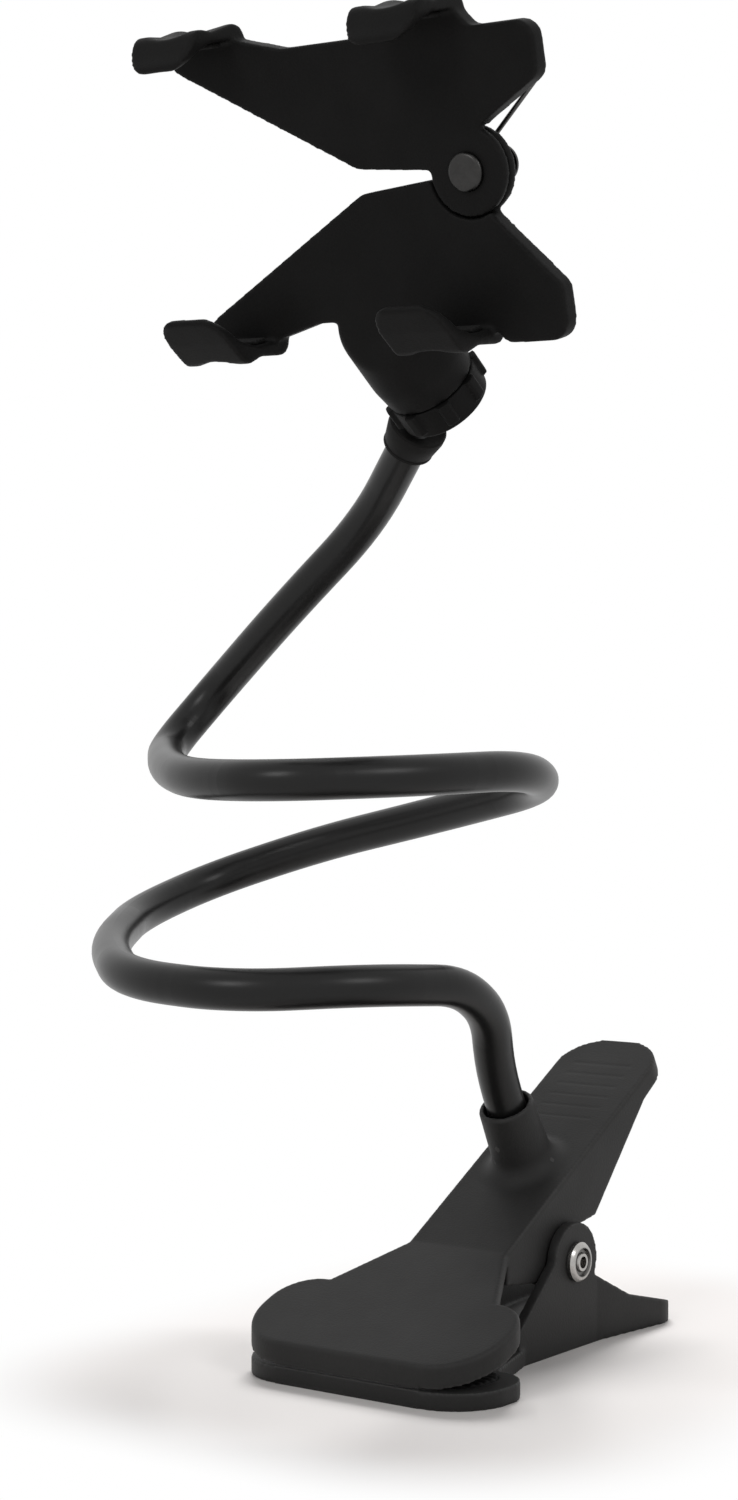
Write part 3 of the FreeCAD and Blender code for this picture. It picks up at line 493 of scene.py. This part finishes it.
# The body's and the head's plastics carry a painted highlight along their edges.
BODY_PLASTIC = EtchedPlastic(
    name="body_plastic", colour=(0.0200, 0.0197, 0.0194), roughness=0.56, specular=0.20,
    wander=0.10, patch=0.020, grain=0.00030, depth=0.00003, rough_swing=0.06, painted_edge_highlight=1.6,
)
SLEEVE_PLASTIC = Finish(
    name="sleeve_plastic", colour=(0.0092, 0.0091, 0.0090), roughness=0.31, specular=0.24,
    wander=0.10, patch=0.030, grain=0.00040, depth=0.000006, rough_swing=0.06,
)
HEAD_PLASTIC = EtchedPlastic(
    name="head_plastic", colour=(0.0100, 0.0099, 0.0098), roughness=0.50, specular=0.05,
    wander=0.12, patch=0.012, grain=0.00025, depth=0.000025, rough_swing=0.06, painted_edge_highlight=0.4,
)
COLLAR_PLASTIC = EtchedPlastic(
    name="collar_plastic", colour=(0.0140, 0.0138, 0.0136), roughness=0.60, specular=0.06,
    wander=0.12, patch=0.012, grain=0.00025, depth=0.000025, rough_swing=0.06,
)
# The rivet's dished ring carries painted shade.
RIVET_STEEL = TurnedMetal(
    name="rivet_steel", colour=(0.40, 0.39, 0.375), roughness=0.24, specular=0.5,
    wander=0.10, patch=0.002, grain=0.00020, depth=0.000006, rough_swing=0.08,
    axis_y=0.0, axis_z=PIVOT_HEIGHT, dish=(0.0019, 0.0034), dish_painted_shade=0.30,
)
PIVOT_STEEL = DrawnMetal(
    name="pivot_steel", colour=(0.045, 0.044, 0.043), roughness=0.36, specular=0.5,
    wander=0.10, patch=0.002, grain=0.00020, depth=0.000006, rough_swing=0.08,
)
SPRING_STEEL = DrawnMetal(
    name="spring_steel", colour=(0.10, 0.098, 0.096), roughness=0.36, specular=0.5,
    wander=0.10, patch=0.003, grain=0.00015, depth=0.000008, rough_swing=0.08,
)
CORE_ALUMINIUM = DrawnMetal(
    name="core_aluminium", colour=(0.62, 0.62, 0.63), roughness=0.36, specular=0.5,
    wander=0.06, patch=0.004, grain=0.00020, depth=0.000008, rough_swing=0.08,
)
STUD_METAL = DrawnMetal(
    name="stud_metal", colour=(0.020, 0.020, 0.0205), roughness=0.34, specular=0.35,
    wander=0.12, patch=0.004, grain=0.00018, depth=0.00001, rough_swing=0.08, metal=0.0,
)
PAD_RUBBER = Finish(
    name="pad_rubber", colour=(0.0105, 0.0103, 0.0102), roughness=0.78, specular=0.18,
    wander=0.18, patch=0.006, grain=0.00030, depth=0.00004, rough_swing=0.06,
)


class Dresser:
    """Puts finishes on nodes and pieces, each material made once."""

    def __init__(self) -> None:
        """Starts with no material made."""
        self.made: Dict[str, bpy.types.Material] = {}

    def material(self, finish: Finish) -> bpy.types.Material:
        """Gives the material of a finish.

        Args:
            finish: the finish.

        Returns:
            The one material made for it.
        """
        if finish.name not in self.made:
            self.made[finish.name] = finish.material()
        return self.made[finish.name]

    def dress(self, thing: bpy.types.Object, finish: Finish) -> None:
        """Puts a finish on the whole of an object.

        Args:
            thing: node or piece.
            finish: what it is made of.
        """
        slots = thing.data.materials
        slots.clear()
        slots.append(self.material(finish))
        LOG.info("%s: %s", thing.name, finish.name)


def in_scene(name: str, data: bpy.types.ID) -> bpy.types.Object:
    """Makes an object and links it to the scene.

    Args:
        name: name of the object.
        data: its mesh, lamp or camera.

    Returns:
        The new object.
    """
    made = bpy.data.objects.new(name, data)
    bpy.context.scene.collection.objects.link(made)
    return made


def shade_smooth(mesh: bpy.types.Mesh) -> None:
    """Shades every face of a mesh smoothly."""
    mesh.polygons.foreach_set("use_smooth", [True] * len(mesh.polygons))


def ease_edges(piece: bpy.types.Object) -> None:
    """Keeps the keener edges of a piece crisp in its shading."""
    piece.data.set_sharp_from_angle(angle=CRISP_ANGLE)


def new_piece(name: str, points: Sequence[Vector], faces: Faces) -> bpy.types.Object:
    """Makes a smooth-shaded piece.

    Args:
        name: name of the piece.
        points: its corners.
        faces: the corners of each face, by number.

    Returns:
        The new object, in the scene.
    """
    mesh = bpy.data.meshes.new(name)
    mesh.from_pydata([tuple(point) for point in points], [], faces)
    shade_smooth(mesh)
    mesh.validate()
    return in_scene(name, mesh)


@dataclass(frozen=True)
class Moulding:
    """Gives a sharp solid the soft edges of a moulding."""

    voxel: float
    passes: int
    kept: float
    ease: float = 0.5
    weld_parts: float = 100.0
    crumb: int = 200

    def soften(self, node: bpy.types.Object, name: str) -> bpy.types.Object:
        """Makes a soft-edged copy of a node.

        Args:
            node: the sharp solid.
            name: name of the copy.

        Returns:
            The copy, in the scene.
        """
        piece = in_scene(name, node.data.copy())
        weld = piece.modifiers.new("weld", "WELD")
        weld.merge_threshold = self.voxel / self.weld_parts
        grid = piece.modifiers.new("grid", "REMESH")
        grid.mode = "VOXEL"
        grid.voxel_size = self.voxel
        smooth = piece.modifiers.new("smooth", "SMOOTH")
        smooth.factor = self.ease
        smooth.iterations = self.passes
        thin = piece.modifiers.new("thin", "DECIMATE")
        thin.ratio = self.kept
        shaped = piece.evaluated_get(bpy.context.evaluated_depsgraph_get())
        mesh = bpy.data.meshes.new_from_object(shaped)
        piece.modifiers.clear()
        piece.data = mesh
        mesh.name = name
        self.drop_crumbs(mesh)
        shade_smooth(mesh)
        return piece

    def drop_crumbs(self, mesh: bpy.types.Mesh) -> None:
        """Deletes loose shells of only a few faces.

        Args:
            mesh: mesh of a softened copy.
        """
        skin = bmesh.new()
        skin.from_mesh(mesh)
        unseen = set(skin.faces)
        crumbs: List[bmesh.types.BMFace] = []
        for first in skin.faces:
            shell: List[bmesh.types.BMFace] = []
            front = [first] if first in unseen else []
            unseen.discard(first)
            while front:
                face = front.pop()
                shell.append(face)
                beside = {other for edge in face.edges for other in edge.link_faces}
                front += [other for other in beside if other in unseen]
                unseen -= beside
            if len(shell) < self.crumb:
                crumbs += shell
        bmesh.ops.delete(skin, geom=crumbs, context="FACES")
        skin.to_mesh(mesh)
        skin.free()


@dataclass(frozen=True)
class RibbedPad:
    """A rubber pad with rounded corners, eased rims and ribs across its grip face."""

    corner: float
    rib_pitch: float
    rib_depth: float
    rim: float
    rows_per_rib: int = 8
    columns: int = 20

    def half_width(self, along: float, length: float, width: float) -> float:
        """Gives half the pad's width at a place along it, less near its rounded corners."""
        short = max(0.0, self.corner - min(along, length - along))
        return width / 2.0 - self.corner + math.sqrt(max(0.0, self.corner ** 2 - short ** 2))

    def height(self, along: float, inset: float, length: float) -> float:
        """Gives how far the grip face lies below the ribs' tops.

        Args:
            along: distance from one end.
            inset: distance from the nearer side.
            length: length of the pad.

        Returns:
            The depth below the tops.
        """
        near = min(along, length - along, inset)
        ease = max(0.0, 1.0 - near / self.rim)
        rim_drop = self.rim * (1.0 - math.sqrt(max(0.0, 1.0 - ease ** 2)))
        groove = 0.5 - 0.5 * math.cos(2.0 * math.pi * along / self.rib_pitch)
        return max(rim_drop, self.rib_depth * groove)

    def across(self, half: float) -> List[float]:
        """Gives the offsets of the columns from the middle, closer together near the sides."""
        steps = [math.sin(math.pi * (n / self.columns - 0.5)) for n in range(self.columns + 1)]
        return [half * step for step in steps]

    def build(self, name: str, low: Vector, high: Vector, turn: Matrix, grip_up: bool) -> bpy.types.Object:
        """Makes the pad in the room of a plain solid.

        Args:
            name: name of the piece.
            low: lowest corner of the room, in the pad's own axes.
            high: highest corner of the room.
            turn: turns the pad's own axes to the model's.
            grip_up: whether the ribs are on the upper face.

        Returns:
            The pad, in the scene.
        """
        width, length = high.x - low.x, high.y - low.y
        middle = (low.x + high.x) / 2.0
        ribs = max(1, round(length / self.rib_pitch))
        rows = ribs * self.rows_per_rib
        grip, seat, out = (high.z, low.z, 1.0) if grip_up else (low.z, high.z, -1.0)
        points: List[Vector] = []
        for on_grip in (True, False):
            for row in range(rows + 1):
                along = length * row / rows
                half = self.half_width(along, length, width)
                for offset in self.across(half):
                    depth = self.height(along, half - abs(offset), length)
                    level = grip - out * depth if on_grip else seat
                    points.append(turn @ Vector((middle + offset, low.y + along, level)))
        return new_piece(name, points, self.faces(rows, len(points) // 2, grip_up))

    def faces(self, rows: int, tops: int, grip_up: bool) -> Faces:
        """Gives the faces of the grip side, the seat and the walls.

        Args:
            rows: steps along the pad.
            tops: number of points on the grip side.
            grip_up: whether the grip side looks up.

        Returns:
            The corners of each face, all turned outwards.
        """
        wide = self.columns + 1
        made: Faces = []
        for row in range(rows):
            for column in range(self.columns):
                a = row * wide + column
                quad = (a, a + 1, a + wide + 1, a + wide)
                made.append(quad)
                made.append(tuple(tops + corner for corner in reversed(quad)))
        rim = list(range(wide))
        rim += [row * wide + self.columns for row in range(1, rows + 1)]
        rim += [rows * wide + column for column in range(self.columns - 1, -1, -1)]
        rim += [row * wide for row in range(rows - 1, 0, -1)]
        for here, there in zip(rim, rim[1:] + rim[:1]):
            made.append((there, here, tops + here, tops + there))
        return made if grip_up else [tuple(reversed(face)) for face in made]


@dataclass(frozen=True)
class Turning:
    """A profile turned about an axis, as on a lathe."""

    centre: Vector
    direction: Vector
    steps: int = 64

    def points(self, profile: Profile) -> List[Vector]:
        """Gives the corners of every ring.

        Args:
            profile: (place along the axis, radius) of each ring.

        Returns:
            The corners, ring after ring.
        """
        turn = Vector((1.0, 0.0, 0.0)).rotation_difference(self.direction)
        made: List[Vector] = []
        for along, radius in profile:
            for step in range(self.steps):
                angle = 2.0 * math.pi * step / self.steps
                own = Vector((along, radius * math.cos(angle), radius * math.sin(angle)))
                made.append(self.centre + turn @ own)
        return made

    def walls(self, first: int, second: int) -> Faces:
        """Gives the faces between two rings.

        Args:
            first: number of the ring that comes first in the profile.
            second: number of the ring after it.

        Returns:
            The corners of each face.
        """
        made: Faces = []
        for step in range(self.steps):
            after = (step + 1) % self.steps
            a, b = first * self.steps, second * self.steps
            made.append((a + step, a + after, b + after, b + step))
        return made

    def rod(self, name: str, profile: Profile) -> bpy.types.Object:
        """Turns a profile that ends on the axis.

        Args:
            name: name of the piece.
            profile: (place along the axis, radius) from one end to the other.

        Returns:
            The turned piece, in the scene.
        """
        last = len(profile) - 1
        faces: Faces = []
        for ring in range(last):
            faces += self.walls(ring, ring + 1)
        faces.append(tuple(reversed(range(self.steps))))
        faces.append(tuple(range(last * self.steps, (last + 1) * self.steps)))
        return new_piece(name, self.points(profile), faces)

    def hollow(self, name: str, profile: Profile) -> bpy.types.Object:
        """Turns a profile that closes on itself around a bore.

        Args:
            name: name of the piece.
            profile: (place along the axis, radius), along the outside first and back through the bore.

        Returns:
            The turned piece, in the scene.
        """
        faces: Faces = []
        for ring in range(len(profile)):
            faces += self.walls(ring, (ring + 1) % len(profile))
        return new_piece(name, self.points(profile), faces)


def turned_box(node: bpy.types.Object, turn: Matrix) -> Tuple[Vector, Vector]:
    """Measures a node along axes of its own.

    Args:
        node: node of the model.
        turn: turns those axes to the model's.

    Returns:
        Its lowest and highest corner in its own axes.
    """
    back = turn.transposed()
    own = [back @ vertex.co for vertex in node.data.vertices]
    low = Vector(min(point[i] for point in own) for i in range(3))
    high = Vector(max(point[i] for point in own) for i in range(3))
    return low, high


@dataclass
class SubAssembly:
    """Pieces that belong together on the model, and what dresses them."""

    nodes: Mapping[str, bpy.types.Object]
    dresser: Dresser

    def dress_nodes(self, finish: Finish, *names: str) -> None:
        """Puts a finish on nodes whose shape is kept."""
        for name in names:
            self.dresser.dress(self.nodes[name], finish)

    def stand_in(self, piece: bpy.types.Object, node: str, body: Body, slot: Slot, finish: Finish) -> None:
        """Shows a piece in the place of a node.

        Args:
            piece: the finer piece.
            node: name of the node that it stands for.
            body: body that it moves with.
            slot: material slot of the record; not used.
            finish: what it is made of.
        """
        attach(piece, body.value)
        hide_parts(node)
        self.dresser.dress(piece, finish)

    def wind_spring(self, node: str, bodies: Tuple[Body, Body], first: Vector, last: Vector) -> None:
        """Shows a copy of the plain spring.

        Args:
            node: name of the plain spring.
            bodies: body of the leg at the first end of the coil, and of the other leg; not used.
            first: first end of the coil on its axis; not used.
            last: last end of the coil on its axis; not used.
        """
        piece = in_scene(node + "_wound", self.nodes[node].data.copy())
        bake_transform(piece)
        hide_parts(node)
        self.dresser.dress(piece, SPRING_STEEL)


@dataclass
class ClampBase(SubAssembly):
    """The spring clamp: both levers, the rivet, the spring and the jaw pads."""

    jaw_angle: float = math.radians(20.6)
    head_radius: float = 0.00435
    head_height: float = 0.0017
    face_radius: float = 0.0036
    head_ease: float = 0.25
    shoulder: float = 1.6
    dish_depth: float = 0.0006
    dish_inner: float = 0.0019
    dish_outer: float = 0.0031
    hole_radius: float = 0.0013
    hole_depth: float = 0.0025
    shank_radius: float = 0.0025
    coil_half: float = 0.0047
    pad: RibbedPad = RibbedPad(corner=0.0069, rib_pitch=0.0021, rib_depth=0.0005, rim=0.0004)
    moulding: Moulding = Moulding(voxel=0.00040, passes=3, kept=0.75)

    def build(self) -> None:
        """Makes the clamp's pieces and dresses them."""
        coil_end = Vector((self.coil_half, 0.0, PIVOT_HEIGHT))
        other_end = Vector((-self.coil_half, 0.0, PIVOT_HEIGHT))
        self.wind_spring("clamp_spring", (Body.BASE, Body.ARM), coil_end, other_end)
        self.build_levers()
        self.build_rivet()
        self.build_pads()

    def build_levers(self) -> None:
        """Gives both levers soft edges."""
        for node, body in (("lower_lever", Body.BASE), ("upper_lever", Body.ARM)):
            piece = self.moulding.soften(self.nodes[node], node + "_moulding")
            self.stand_in(piece, node, body, Slot.BODY, BODY_PLASTIC)

    def rivet_end(self, half: float) -> Profile:
        """Gives the profile of one rivet head.

        Args:
            half: half the length of the rivet over its heads.

        Returns:
            (place along the axis, radius) from the shank to the middle of the head.
        """
        seat, floor = half - self.head_height, half - self.dish_depth
        ease, slope = self.head_height * self.head_ease, self.dish_depth / 2.0
        head = [
            (seat, self.shank_radius), (seat, self.head_radius - ease / 2.0),
            (seat + ease / 2.0, self.head_radius), (half - self.shoulder * ease, self.head_radius),
            (half - ease / 2.0, self.head_radius - ease), (half, self.face_radius),
        ]
        dish = [
            (half, self.dish_outer), (floor, self.dish_outer - slope),
            (floor, self.dish_inner + slope), (half, self.dish_inner),
        ]
        bottom = half - self.hole_depth
        return head + dish + [(half, self.hole_radius), (bottom, self.hole_radius), (bottom, ON_AXIS)]

    def build_rivet(self) -> None:
        """Turns the rivet with its dished heads."""
        low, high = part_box("hinge_rivet")
        end = self.rivet_end((high[0] - low[0]) / 2.0)
        profile = [(-along, radius) for along, radius in reversed(end)] + end
        centre = (Vector(low) + Vector(high)) / 2.0
        piece = Turning(centre, Vector((1.0, 0.0, 0.0))).rod("rivet_turning", profile)
        ease_edges(piece)
        self.stand_in(piece, "hinge_rivet", Body.BASE, Slot.RIVET, RIVET_STEEL)

    def build_pads(self) -> None:
        """Makes the ribbed pads of both jaws."""
        level, sloped = Matrix.Identity(3), Matrix.Rotation(self.jaw_angle, 3, "X")
        for node, body, turn, grip_up in (
            ("lower_jaw_pad", Body.BASE, level, True), ("upper_jaw_pad", Body.ARM, sloped, False),
        ):
            low, high = turned_box(self.nodes[node], turn)
            piece = self.pad.build(node + "_ribbed", low, high, turn, grip_up)
            self.stand_in(piece, node, body, Slot.PAD, PAD_RUBBER)


@dataclass
class GooseneckArm(SubAssembly):
    """The bent arm and the cup at its upper end, measured along the stem from the ball's centre."""

    ball_centre: Place = (-0.0053749, -0.0235425, 0.2085030)
    stem: Place = (-0.7045499, 0.3893565, -0.5933051)
    dish_radius: float = 0.0124
    rim_radius: float = 0.0066
    rim_round: float = 0.0004
    rim_band: float = 0.0016
    foot: float = 0.0180
    foot_radius: float = 0.0058
    foot_lip: float = 0.0011
    groove: float = 0.0002
    shank_bore: float = 0.00305
    shank_end: float = 0.01525
    sleeve_bore: float = 0.00475
    dish_steps: int = 6

    def build(self) -> None:
        """Dresses the arm and makes its cup."""
        self.dress_nodes(SLEEVE_PLASTIC, "gooseneck_sleeve")
        self.dress_nodes(CORE_ALUMINIUM, "gooseneck_core")
        turning = Turning(Vector(self.ball_centre), Vector(self.stem))
        piece = turning.hollow("neck_cup", self.cup_profile())
        ease_edges(piece)
        self.stand_in(piece, "neck_ferrule", Body.ARM, Slot.BODY, COLLAR_PLASTIC)

    def dish(self, radius: float) -> float:
        """Gives the place of the dished face along the stem, at a distance from it."""
        return math.sqrt(self.dish_radius ** 2 - radius ** 2)

    def cup_profile(self) -> Profile:
        """Gives the profile of the cup.

        Returns:
            (place along the stem, radius) from the rim down the outside and back through the bore.
        """
        inner = self.rim_radius - 2.0 * self.rim_round
        rim = self.dish(inner)
        top, lip = self.rim_radius, self.foot - self.foot_lip
        outside = [
            (rim, inner), (rim - self.rim_round / 2.0, top - self.rim_round),
            (rim + self.rim_round / 2.0, top), (rim + self.rim_band, top),
            (lip - self.groove, self.foot_radius), (lip, self.foot_radius - self.groove),
            (lip + self.groove, self.foot_radius), (self.foot - self.rim_round, self.foot_radius),
            (self.foot, self.foot_radius - self.rim_round),
        ]
        bore = [
            (self.foot, self.sleeve_bore), (self.shank_end, self.sleeve_bore),
            (self.shank_end, self.shank_bore),
        ]
        span = (inner - self.shank_bore) / self.dish_steps
        radii = [self.shank_bore + span * step for step in range(self.dish_steps)]
        return outside + bore + [(self.dish(radius), radius) for radius in radii]


@dataclass
class BallHead(SubAssembly):
    """The ball on its stem and the ring that tightens on it."""

    moulding: Moulding = Moulding(voxel=0.00022, passes=4, kept=0.5)

    def build(self) -> None:
        """Softens the ring's ribs and dresses the joint."""
        self.dress_nodes(STUD_METAL, "ball_stud")
        piece = self.moulding.soften(self.nodes["lock_ring"], "lock_ring_moulding")
        self.stand_in(piece, "lock_ring", Body.RING, Slot.BODY, HEAD_PLASTIC)


@dataclass
class ClawClip(SubAssembly):
    """The two halves of the spring clip, with its hinge, spring and pads."""

    joints: Sequence[Mapping[str, object]] = ()
    hinge_place: Place = (0.0241065, -0.0510547, 0.2480393)
    coil_span: Tuple[float, float] = (0.0017, 0.0063)
    moulding: Moulding = Moulding(voxel=0.00045, passes=9, kept=0.4)
    pad: RibbedPad = RibbedPad(corner=0.0008, rib_pitch=0.00105, rib_depth=0.0003, rim=0.0003)

    def build(self) -> None:
        """Makes the clip's pieces and dresses them."""
        self.dress_nodes(PIVOT_STEEL, "claw_pivot")
        turn = self.clip_turn()
        hinge, inward = Vector(self.hinge_place), turn.col[1]
        ends = [hinge + inward * place for place in self.coil_span]
        self.wind_spring("claw_spring", (Body.CRADLE, Body.UPPER_CLAW), *ends)
        for level, body in (("lower", Body.CRADLE), ("upper", Body.UPPER_CLAW)):
            node = level + "_claw_lever"
            piece = self.moulding.soften(self.nodes[node], node + "_moulding")
            self.stand_in(piece, node, body, Slot.BODY, HEAD_PLASTIC)
            for side in ("left", "right"):
                self.build_pad("claw_pad_%s_%s" % (level, side), body, turn, level == "lower")

    def clip_turn(self) -> Matrix:
        """Gives the clip's own axes.

        Returns:
            Columns: along the claws' lips, into the clip, and from the lower claws to the upper ones.
        """
        hinge = next(joint for joint in self.joints if joint["name"] == "claw_hinge")
        inward = Vector(hinge["axis"]).normalized()
        along = Vector((0.0, 1.0, 0.0)).cross(inward).normalized()
        return Matrix((along, inward, along.cross(inward))).transposed()

    def build_pad(self, node: str, body: Body, turn: Matrix, grip_up: bool) -> None:
        """Makes one ribbed claw pad.

        Args:
            node: plain pad that it stands for.
            body: body that it moves with.
            turn: the clip's own axes.
            grip_up: whether it grips upwards.
        """
        low, high = turned_box(self.nodes[node], turn)
        piece = self.pad.build(node + "_ribbed", low, high, turn, grip_up)
        self.stand_in(piece, node, body, Slot.PAD, PAD_RUBBER)


@dataclass(frozen=True)
class Lamp:
    """A soft square lamp that points at a place."""

    name: str
    place: Place
    target: Place
    size: float
    power: float
    mirrored: bool = True

    def build(self) -> None:
        """Makes the lamp."""
        data = bpy.data.lights.new(self.name, "AREA")
        data.shape = "SQUARE"
        data.size = self.size
        data.energy = self.power
        lamp = in_scene(self.name, data)
        lamp.location = self.place
        lamp.visible_glossy = self.mirrored
        aim = Vector(self.target) - Vector(self.place)
        lamp.rotation_euler = aim.to_track_quat("-Z", "Y").to_euler()


@dataclass
class Studio:
    """A white floor, soft light and the camera."""

    camera_place: Place = (0.32583, -0.50091, 0.13421)
    camera_forward: Place = (-0.5905, 0.8070, -0.0056)
    focal_pixels: float = 2688.0
    image_height: int = 1500
    sensor: float = 36.0
    floor_reach: float = 6.0
    # Brownish paint of the floor near the base: partly the floor's pale colour, partly painted shade that
    # browns and darkens the shadow around the base.
    floor_paint_and_shade: Colour = (0.92, 0.89, 0.875)
    floor_roughness: float = 0.9
    floor_specular: float = 0.1
    base_half: Tuple[float, float] = (0.026, 0.050)
    base_middle: float = -0.012
    shadow_reach: Tuple[float, float] = (0.026, 0.066)
    ambient: float = 0.22
    lamps: List[Lamp] = field(default_factory=lambda: [
        Lamp(
            "top_lamp", place=(-0.48, 0.70, 1.08), target=(-0.02, -0.02, 0.08),
            size=0.6, power=17.0, mirrored=False,
        ),
        Lamp(
            "left_lamp", place=(-0.07, -1.00, 0.72), target=(-0.02, -0.02, 0.12),
            size=0.36, power=2.2,
        ),
        Lamp(
            "right_lamp", place=(0.95, -0.24, 0.72), target=(-0.02, -0.02, 0.12),
            size=0.36, power=2.0,
        ),
    ])

    def build(self) -> None:
        """Sets the stage."""
        self.build_camera()
        self.build_world()
        self.build_floor()
        for lamp in self.lamps:
            lamp.build()
        bpy.context.scene.view_settings.view_transform = "Standard"

    def build_camera(self) -> None:
        """Stands the camera where the photograph was taken from."""
        data = bpy.data.cameras.new("camera")
        data.sensor_width = self.sensor
        data.lens = self.focal_pixels * self.sensor / self.image_height
        camera = in_scene("camera", data)
        camera.location = self.camera_place
        forward = Vector(self.camera_forward)
        camera.rotation_euler = forward.to_track_quat("-Z", "Y").to_euler()
        bpy.context.scene.camera = camera

    def build_world(self) -> None:
        """Makes a white surround that lights the object softly."""
        world = bpy.data.worlds.new("surround")
        world.use_nodes = True
        graph = Graph(world.node_tree)
        strength = graph.seen() * (1.0 - self.ambient) + self.ambient
        values = {"Color": opaque(WHITE), "Strength": strength}
        light = graph.out(graph.node("ShaderNodeBackground", None, values))
        graph.node("ShaderNodeOutputWorld", None, {"Surface": light})
        bpy.context.scene.world = world

    def build_floor(self) -> None:
        """Lays the floor, which keeps the shadow near the base and is white beyond."""
        reach = self.floor_reach
        mesh = bpy.data.meshes.new("floor")
        corners = [(-reach, -reach, 0.0), (reach, -reach, 0.0), (reach, reach, 0.0), (-reach, reach, 0.0)]
        mesh.from_pydata(corners, [], [(0, 1, 2, 3)])
        floor = in_scene("floor", mesh)
        mesh.materials.append(self.floor_material())

    def floor_material(self) -> bpy.types.Material:
        """Gives the floor's material.

        Returns:
            Pale brownish paint near the base, partly painted shade, plain white for the camera beyond it.
        """
        made = bpy.data.materials.new("floor_paint")
        made.use_nodes = True
        graph = Graph(made.node_tree)
        place = graph.position()
        across = (place.part(Axis.X).size() - self.base_half[0]).larger(0.0)
        along = ((place.part(Axis.Y) - self.base_middle).size() - self.base_half[1]).larger(0.0)
        # Painted shade: the brownish paint holds near the base and fades to plain white beyond
        # shadow_reach.
        white = across.span(along).rise(*self.shadow_reach) * graph.seen()
        paint = {
            "Base Color": opaque(self.floor_paint_and_shade),
            "Roughness": self.floor_roughness,
            "Specular IOR Level": self.floor_specular,
        }
        near = graph.out(graph.node("ShaderNodeBsdfPrincipled", None, paint))
        glow = {"Color": opaque(WHITE), "Strength": 1.0}
        far = graph.out(graph.node("ShaderNodeEmission", None, glow))
        both = graph.out(graph.node("ShaderNodeMixShader", None, {0: white, 1: near, 2: far}))
        graph.node("ShaderNodeOutputMaterial", None, {"Surface": both})
        return made


def main() -> None:
    """Builds the looks around the model."""
    logging.basicConfig(level=logging.INFO, format="%(name)s: %(message)s")
    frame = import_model()
    dresser, nodes = Dresser(), frame["nodes"]
    ClampBase(nodes, dresser).build()
    GooseneckArm(nodes, dresser).build()
    BallHead(nodes, dresser).build()
    ClawClip(nodes, dresser, frame["joints"]).build()
    Studio().build()


if __name__ == "__main__":
    main()
